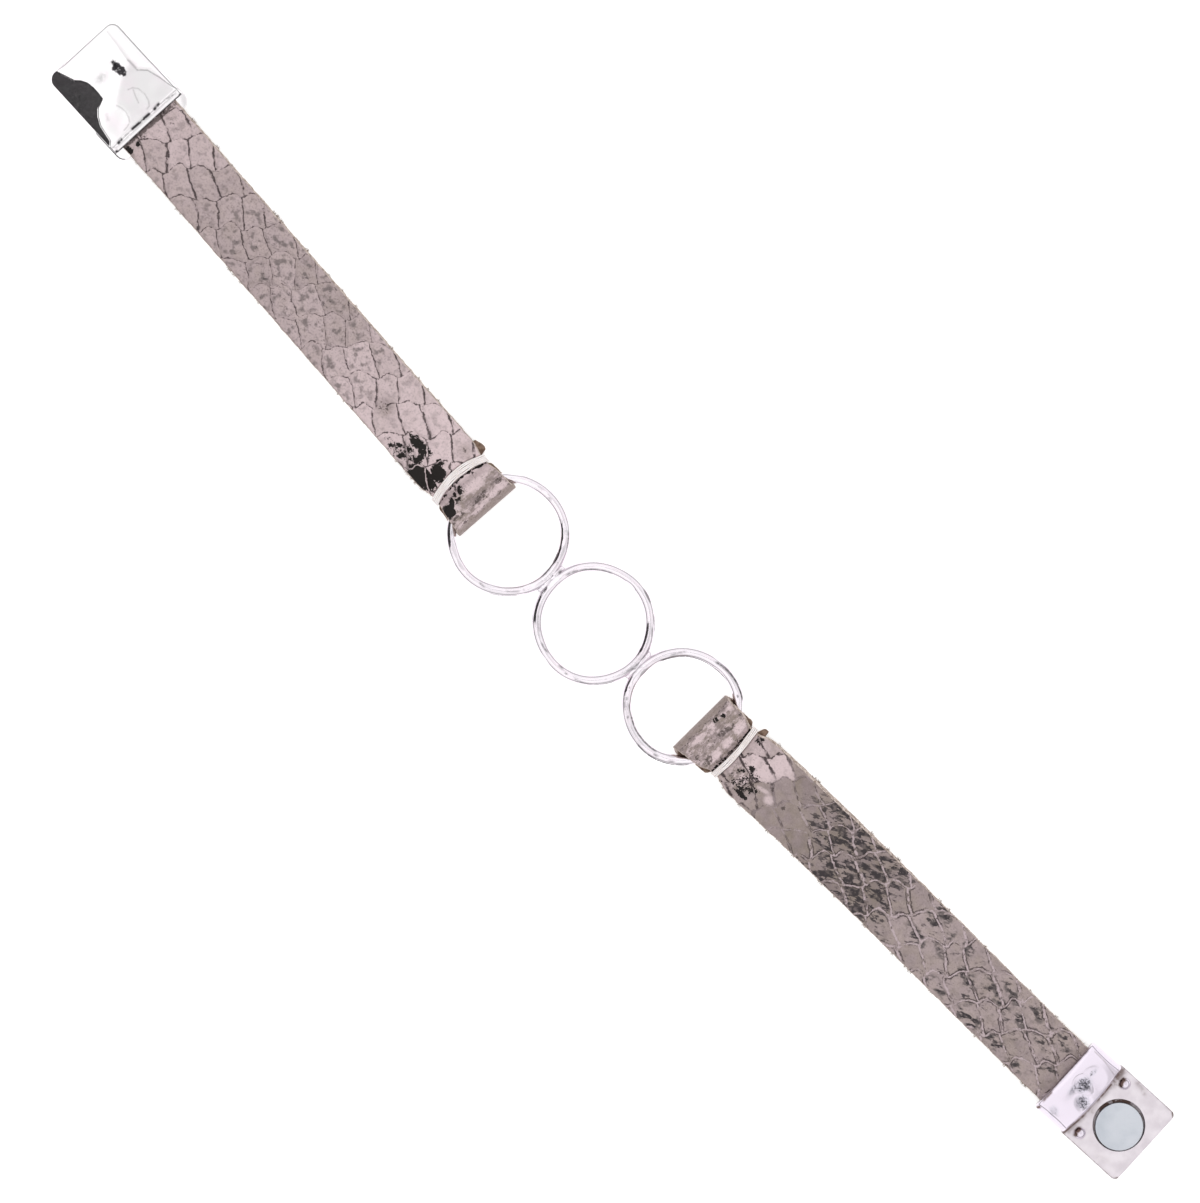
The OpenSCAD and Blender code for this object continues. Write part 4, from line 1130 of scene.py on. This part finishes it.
def rounded_plate(points, z0, z1, holes, bevel):
    """A flat plate with round holes [x, y, radius] and eased edges: a filled outline that's
    given its thickness. Returns its points and faces."""
    outline = bpy.data.curves.new("plate", "CURVE")
    outline.dimensions = "2D"
    outline.fill_mode = "BOTH"
    outline.extrude = (z1 - z0) / 2 - bevel
    outline.bevel_depth = bevel
    outline.bevel_resolution = 2
    a = circle(96)
    for ring in [points] + [np.stack([x + r * np.cos(a), y + r * np.sin(a)], -1) for x, y, r in holes]:
        spline = outline.splines.new("POLY")
        spline.points.add(len(ring) - 1)
        spline.points.foreach_set("co", np.column_stack([ring, 0 * ring[:, 0], 1 + 0 * ring[:, 0]]).ravel())
        spline.use_cyclic_u = True
    solid = bpy.data.objects.new("plate", outline)
    mesh = bpy.data.meshes.new_from_object(solid)
    at = np.empty(len(mesh.vertices) * 3)
    mesh.vertices.foreach_get("co", at)
    faces = [list(face.vertices) for face in mesh.polygons]
    bpy.data.objects.remove(solid)
    bpy.data.curves.remove(outline)
    bpy.data.meshes.remove(mesh)
    return at.reshape(-1, 3) + [0, 0, (z0 + z1) / 2], faces


flange = rounded_plate(corner_points(0, 5.8, clasp_w / 2, 1.3, 0.3), 0.0, sockeedge_slant, [], 0.2)
pin_x, pin_y, pin_hole_r = 14.35, 4.7, 0.975
insert = rounded_plate(corner_points(6.44, 15.36, 5.9, 0.3, 0.3), cover_under + 0.02, 3.05,
                       [[10.95, 0, 3.5], [pin_x, pin_y, pin_hole_r], [pin_x, -pin_y, pin_hole_r]], 0.06)
cover_silver = polished_silver("cover_silver", "#F1EFF0", "#F3ECF0")
cover = make_mesh("clasp_cover_silver", [skin(cover_form), flange, insert], cover_silver, cover_at,
                  cover_turn, 50, flat_tops=True)


def soft_lines(x, y, rows):
    """The strongest of soft lines: rows of [points, half width, strength]."""
    strongest = 0 * x
    for points, width, strength in rows:
        closest = 99 + 0 * x
        for (x0, y0), (x1, y1) in zip(points, points[1:]):
            share = ((x - x0) * (x1 - x0) + (y - y0) * (y1 - y0)) / ((x1 - x0) ** 2 + (y1 - y0) ** 2)
            share = np.clip(share, 0, 1)
            closest = np.minimum(closest, np.hypot(x - mix(x0, x1, share), y - mix(y0, y1, share)))
        strongest = np.maximum(strongest, strength * hump(closest, 0, width))
    return strongest


# Tarnish in the groove at the mouth; dark dots at the rim's ends and a faint line behind the
# rim; painted shade along the mouth's front edge, where the strap goes in; painted dark
# reflections along the creases and at the rims of two dents; a painted dark reflection on the
# crown with a painted highlight spot left clear in it, and a painted grey reflection spot
px, py, pz = own_places(cover.data, cover_at, cover_turn)
tarnish_and_painted_reflection = (pz > 1.5) * soft_lines(px, py, (
    ([(2.4, 5.0), (2.5, 4.4)], 0.22, 1.3), ([(2.54, 2.2), (2.5, 0.8)], 0.21, 1.3),
    ([(2.52, 0.45), (2.5, -0.9)], 0.22, 1.3), ([(2.5, -1.95), (2.6, -2.85)], 0.22, 1.3),
    ([(2.5, 3.6), (2.5, 2.6)], 0.15, 0.5), ([(2.5, -3.9), (2.2, -5.2)], 0.15, 0.6),
    ([(1.72, 5.95), (1.7, 6.1)], 0.18, 1.2), ([(1.62, -5.9), (1.62, -6.1)], 0.15, 1.0),
    # Then the line along the groove, and painted dark reflections along the creases and round the rims of two
    # dents
    ([(2.45, 6.0), (2.45, -6.0)], 0.12, 0.4), ([(10.05, -3.86), (9.04, -3.91), (8.17, -3.89)], 0.16, 0.40),
    ([(8.17, -3.89), (7.15, -4.91), (5.25, -5.5), (3.33, -5.89), (2.03, -6.46)], 0.09, 0.55),
    ([(6.4, 1.62), (5.8, 1.39), (4.94, 1.3), (4.06, 1.51), (3.46, 1.92), (3.25, 2.55), (3.17, 3.2)],
     0.11, 0.30),
    ([(6.98, -1.05), (6.75, -1.72), (6.11, -2.21), (5.0, -2.36), (3.87, -2.11), (3.29, -1.67), (3.22, -1.12)],
     0.11, 0.28),
    ([(6.49, -1.58), (5.66, -1.21), (4.68, -0.9)], 0.12, 0.26), ([(6.46, 3.51), (5.84, 3.88)], 0.3, 0.22),
    # Painted shade along the mouth's front edge, where the strap goes in, and a faint line behind the rim
    ([(1.53, 5.9), (1.53, -5.8)], 0.12, 1.1), ([(2.12, 5.7), (2.12, -5.6)], 0.17, 0.28)))
# A painted dark reflection on the crown, with a painted highlight spot left clear in it, and a painted grey
# reflection spot
painted_dark_reflection = patches(px, py, [[10.25, -1.98, 1.55, 0.70, 7, 1.0], [9.5, -2.25, 1.0, 0.5, -10, 1.0]]) * (pz > 3.5)
painted_dark_reflection = painted_dark_reflection - 1.5 * hump(np.hypot((px - 11.2) / 0.34, (py + 1.62) / 0.2), 0, 1)
grey_spot = 0.34 * hump(np.hypot((px - 10.75) / 0.62, (py - 0.65) / 0.95), 0, 1)
tarnish_and_painted_reflection = np.maximum(tarnish_and_painted_reflection, np.maximum(1.25 * ease(painted_dark_reflection, 0.30, 0.75), grey_spot))
# The painted dark reflection also sets the dark specks that break it up
store(cover.data, "marks", tarnish_and_painted_reflection, ease(painted_dark_reflection, 0.05, 0.4), 0)
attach(cover, "root")
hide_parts("clasp_cover")


# Each half holds a round magnet, plated and turned, with a broken edge.
def magnet_plate():
    """Satin blue-grey plating with faint turning marks and stains."""
    made, tree, surface = material("magnet_plating")
    place = own_place(tree)
    speck = noise(place, 2500.0, 3.0)
    tone = mixed(fade(noise(place, 300.0, 4.0), 0.3, 0.7), "#B7BCC4", "#C7CAD1")
    tone = mixed(fade(speck, 0.62, 0.8, 0.0, 0.35), tone, "#9A9EA8")
    shader(surface, Base_Color=tone, Metallic=0.85, Roughness=fade(speck, 0.3, 0.7, 0.30, 0.42))
    return made


magnet_metal = magnet_plate()


def lathe(profile, sides, x, y):
    """A turned solid at a place: rows of [radius, height] from the middle of its underside to
    the middle of its top."""
    a = circle(sides)[None, :]
    r, z = np.array(profile)[:, :1], np.array(profile)[:, 1:]
    return skin(np.stack([x + r * np.cos(a), y + r * np.sin(a), z + 0 * a], -1))


def make_magnet(name, node, x, y, z, height, at, turn):
    r, edge = 3.44, 0.18
    low = [[0, z], [1.6, z], [r - edge - 0.03, z]]
    low += [[r - edge + edge * math.sin(b), z + edge - edge * math.cos(b)]
            for b in np.linspace(0, math.pi / 2, 6)]
    form = lathe(low + [[p[0], 2 * z + height - p[1]] for p in low[::-1]], 128, x, y)
    magnet = make_mesh(name, [form], magnet_metal, at, turn, 40, flat_tops=True)
    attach(magnet, "root")
    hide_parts(node)


make_magnet("cover_magnet_plated", "cover_magnet", 10.95, 0, cover_under + 0.05, 1.5, cover_at, cover_turn)
make_magnet("plate_magnet_plated", "plate_magnet", 10.77, -0.30, 0.4, 1.6, plate_at, plate_turn)


# The plate half: a satin plate with a round pocket for the magnet and two domed pins, and on
# its strap end a hammered cap with bevelled sides and a bowed front that holds the strap.
cap_l, cap_w, cap_r, cap_bow, plate_l, plate_t = 5.4, 12.4, 0.5, 0.5, 15.5, 2.2
cap_dents = [[2.9, 0.7, 1.5, 0.10], [4.5, -1.25, 1.3, 0.08], [2.6, -4.4, 1.1, 0.04], [3.4, 2.4, 1.7, 0.06]]


def cap_top(x, y):
    """Height of the cap: bevels on all four sides round a dented face."""
    half = cap_w / 2 - abs(y)
    z = lesser(4.22 - (x - 3.0) ** 2 / 40 - y ** 2 / 160, 3.8 + 0.42 * x, 0.10)
    z = lesser(z, 3.1 + 1.05 * half, 0.12)
    z = lesser(z, 3.2 + 3.6 * (cap_l - x), 0.12)
    inset = inset_from(np.minimum(cap_l - x, x), half, cap_r)
    return z - 0.35 * (1 - rounded(inset / 0.3)) - scoops(x, y, cap_dents) * ease(inset, 0.2, 0.9)


def cap_half_w(x):
    return cap_w / 2 - cap_r * (1 - rounded(np.minimum(x, cap_l - x) / cap_r))


def cap_bottom(x, y):
    return 0.25 * ease(x, 4.9, cap_l) + 0 * y


cap_stations = np.unique(np.round(np.concatenate([
    cap_r * (1 - np.cos(np.linspace(0, math.pi / 2, 10))), np.arange(cap_r, 4.9, 0.07),
    4.9 + 0.5 * np.sin(np.linspace(0, math.pi / 2, 12))]), 4))
cap_form = socket_grid(cap_stations, cap_half_w, cap_top, cap_bottom, cap_l - sockeedge_slant)
bowed = np.clip(1 - (cap_form[..., 1] / (cap_w / 2)) ** 2, 0, 1)
cap_form[..., 0] += cap_bow * ease(cap_form[..., 0], 3.0, 5.2) * bowed


def satin_plate():
    """Matte silver, brushed along its length and clouded, with brown grime, painted shadow and shade
    and painted dark reflections where the attribute marks says. The cap and the pins are bright,
    and the cap's dents hold dark specks."""
    made, tree, surface = material("plate_silver")
    place = put(tree, "Attribute", attribute_name="place", out=1)
    grime_and_painted_shade, specks, bright = three(tree, "marks")
    brushed = noise(stretched(place, (1.5, 9.0, 1.0)), 1.2, 4.0)
    fine = noise(place, 5.0, 3.0)
    tone = mixed(fade(noise(place, 0.5, 4.0), 0.3, 0.7), "#D0C8CE", "#E0D9DE")
    tone = mixed(fade(fine, 0.6, 0.8, 0.0, 0.25), tone, "#B9AEB5")
    tone = mixed(bright, tone, "#DFD6E2")
    # Brown grime, painted shadow and shade, and painted dark reflections, broken by noise
    tone = mixed(grime_and_painted_shade * fade(noise(place, 1.6, 4.0), 0.36, 0.56, 0.45, 1.0), tone, "#64514B")
    tone = mixed(specks * 0.36, tone, "#AEB2BE")
    fleck = noise(stretched(place, (1.0, 1.5, 1.0), 0.5), 5.0, 3.0, 0.75) + specks * 0.30
    tone = mixed(fade(fleck, 0.74, 0.82), tone, "#35343C")
    roughness = mixed(bright, (0.42, 0.42, 0.42, 1), (0.12, 0.12, 0.12, 1))
    height = (brushed * 0.6 + fine * 0.4) * fade(bright, 0.0, 1.0, 1.0, 0.2)
    shader(surface, Base_Color=tone, Metallic=1.0, Roughness=roughness, Normal=bumped(height, 0.3, 0.00003))
    return made


def pocket_plate(x0, x1, half, corner, z0, z1, pocket, radius, bevel, around=400, across=26):
    """A plate with one round pocket through it, as closed loops: up the pocket's wall, out over
    the top, down the sides and back along the underside, with eased edges."""
    def loop(inset):
        points = corner_points(x0 + inset, x1 - inset, half - inset, 0.12, corner - inset)
        points = np.concatenate([points, points[:1]])
        run = np.concatenate([[0], np.cumsum(np.hypot(*np.diff(points, axis=0).T))])
        at = np.linspace(0, run[-1], around, endpoint=False)
        return np.stack([np.interp(at, run, points[:, 0]), np.interp(at, run, points[:, 1])], -1)

    outer, top_edge = loop(0.0), loop(bevel)
    way = (outer - pocket) / np.linalg.norm(outer - pocket, axis=1)[:, None]
    bends = [(1 - math.cos(b), math.sin(b)) for b in np.linspace(0, math.pi / 2, 4)[1:]]
    rows = [(pocket + radius * way, z) for z in np.linspace(z0, z1 - bevel, 5)]
    rows += [(pocket + (radius + bevel * out) * way, z1 - bevel + bevel * up) for out, up in bends]
    rows += [(mix(rows[-1][0], top_edge, t), z1) for t in np.linspace(0, 1, across)[1:]]
    rows += [(mix(top_edge, outer, up), z1 - bevel * out) for out, up in bends]
    rows += [(outer, z) for z in np.linspace(z1 - bevel, z0 + bevel, 4)[1:]]
    rows += [(mix(outer, top_edge, out), z0 + bevel - bevel * up) for out, up in bends]
    rows += [(mix(top_edge, rows[0][0], t), z0) for t in np.linspace(0, 1, 6)[1:-1]]
    form = np.stack([np.concatenate([flat, np.full((around, 1), z)], 1) for flat, z in rows])
    return skin(form, round_rows=True)


pocket_x, pocket_y, post_x, post_r = 10.56, -0.16, 7.25, 0.82
slab = pocket_plate(5.1, plate_l, clasp_w / 2, 0.8, 0.0, plate_t, np.array([pocket_x, pocket_y]), 3.68, 0.1)
floor_rows = [[0, 0.05], [3.95, 0.05], [3.95, 0.35], [3.2, 0.35], [3.1, 0.35], [0, 0.35]]
floor_disc = lathe(floor_rows, 96, 10.6, -0.1)
pin_rows = [[0, 1.8], [post_r, 1.8], [post_r, 2.35]]
pin_rows += [[post_r * math.cos(b), 2.35 + 0.68 * math.sin(b)] for b in np.linspace(0.1, math.pi / 2, 14)]
pins = [lathe(pin_rows, 48, post_x, y) for y in (-pin_y, pin_y)]
plate = make_mesh("clasp_plate_silver", [skin(cap_form), slab, floor_disc, *pins], satin_plate(),
                  plate_at, plate_turn, 40, flat_tops=True)

# Painted shadow along the cap's foot with grime beside it, grime in two stains on the plate, dark
# lines along the plate's rims and at its corners, painted dark reflections of the cap on the pins,
# down to their feet, painted shade in the magnet's pocket round its rim, and grime on the cap's own
# edges
px, py, pz = own_places(plate.data, plate_at, plate_turn)
on_cap = (px < 5.98) & (pz > 2.3)
on_pin = (np.hypot(px - post_x, abs(py) - pin_y) < 0.84) & (pz > 2.22)
on_plate = soft_lines(px, py, (
    # Painted shadow at the cap's foot, then grime spread beside it
    ([(5.5, 6.2), (5.64, 5.6), (5.88, 3.6), (6.0, 0.8), (5.96, -2.8), (5.64, -5.5), (5.5, -6.3)], 0.2, 1.0),
    ([(5.6, 6.2), (5.9, 5.3), (6.1, 3.8)], 0.55, 0.8), ([(6.1, 3.0), (6.2, 0), (5.9, -5.6)], 0.35, 0.42),
    ([(6.2, -0.6), (6.4, -1.2)], 0.4, 0.55), ([(8.5, 6.0), (9.4, 5.9), (10.2, 5.6)], 0.35, 0.40),
    # Dark lines along the plate's long edges and at its far corners
    ([(5.5, -6.32), (12.0, -6.33), (15.0, -6.3)], 0.10, 0.75),
    ([(5.5, 6.32), (12.0, 6.33), (14.8, 6.3)], 0.09, 0.6),
    ([(14.9, 6.25), (15.4, 5.9)], 0.15, 1.1), ([(15.1, -6.2), (15.4, -5.8)], 0.13, 1.1),
    # Painted dark reflections of the cap's wall on the pins' near sides
    ([(6.95, 4.15), (6.7, 4.55), (6.75, 5.05)], 0.28, 2.2),
    ([(6.95, -5.25), (6.7, -4.85), (6.75, -4.35)], 0.28, 2.2),
    ([(11.4, -5.4), (12.6, -5.0)], 0.5, 0.12)))
from_pocket = np.hypot(px - pocket_x, py - pocket_y)
# Painted shade on the pocket's wall and floor round the magnet
in_pocket = (pz > 0.1) * (pz < 2.12) * (from_pocket > 3.15) * (from_pocket < 4.0)
over_cap = soft_lines(px, py, (
    ([(0.35, -4.9), (0.12, -1.5), (0.15, 2.0), (0.2, 4.6)], 0.14, 0.7),
    ([(0.3, -6.1), (0.5, -5.8)], 0.2, 1.2), ([(0.3, -4.7), (0.35, -3.2)], 0.18, 0.9),
    ([(1.0, 5.2), (3.0, 5.1), (5.3, 4.6)], 0.09, 0.35), ([(5.3, 4.4), (5.2, 5.6)], 0.12, 0.3)))
grime_and_painted_shade = np.max([on_plate * ~on_cap * (pz > 2.0), 1.05 * in_pocket, over_cap * on_cap], axis=0)
specks = patches(px, py, [
    [3.0, 0.7, 1.2, 1.5, 0, 1.0], [4.5, -1.2, 1.2, 1.2, 0, 1.0], [2.3, -4.8, 0.8, 0.8, 0, 0.6],
    [2.8, 2.9, 0.4, 0.9, 0, 0.7], [2.3, -0.6, 0.5, 1.4, 0, 0.75]])
store(plate.data, "place", px, py, pz)
store(plate.data, "marks", grime_and_painted_shade, specks * on_cap, 1.0 * (on_cap | on_pin))
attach(plate, "root")
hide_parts("clasp_plate")
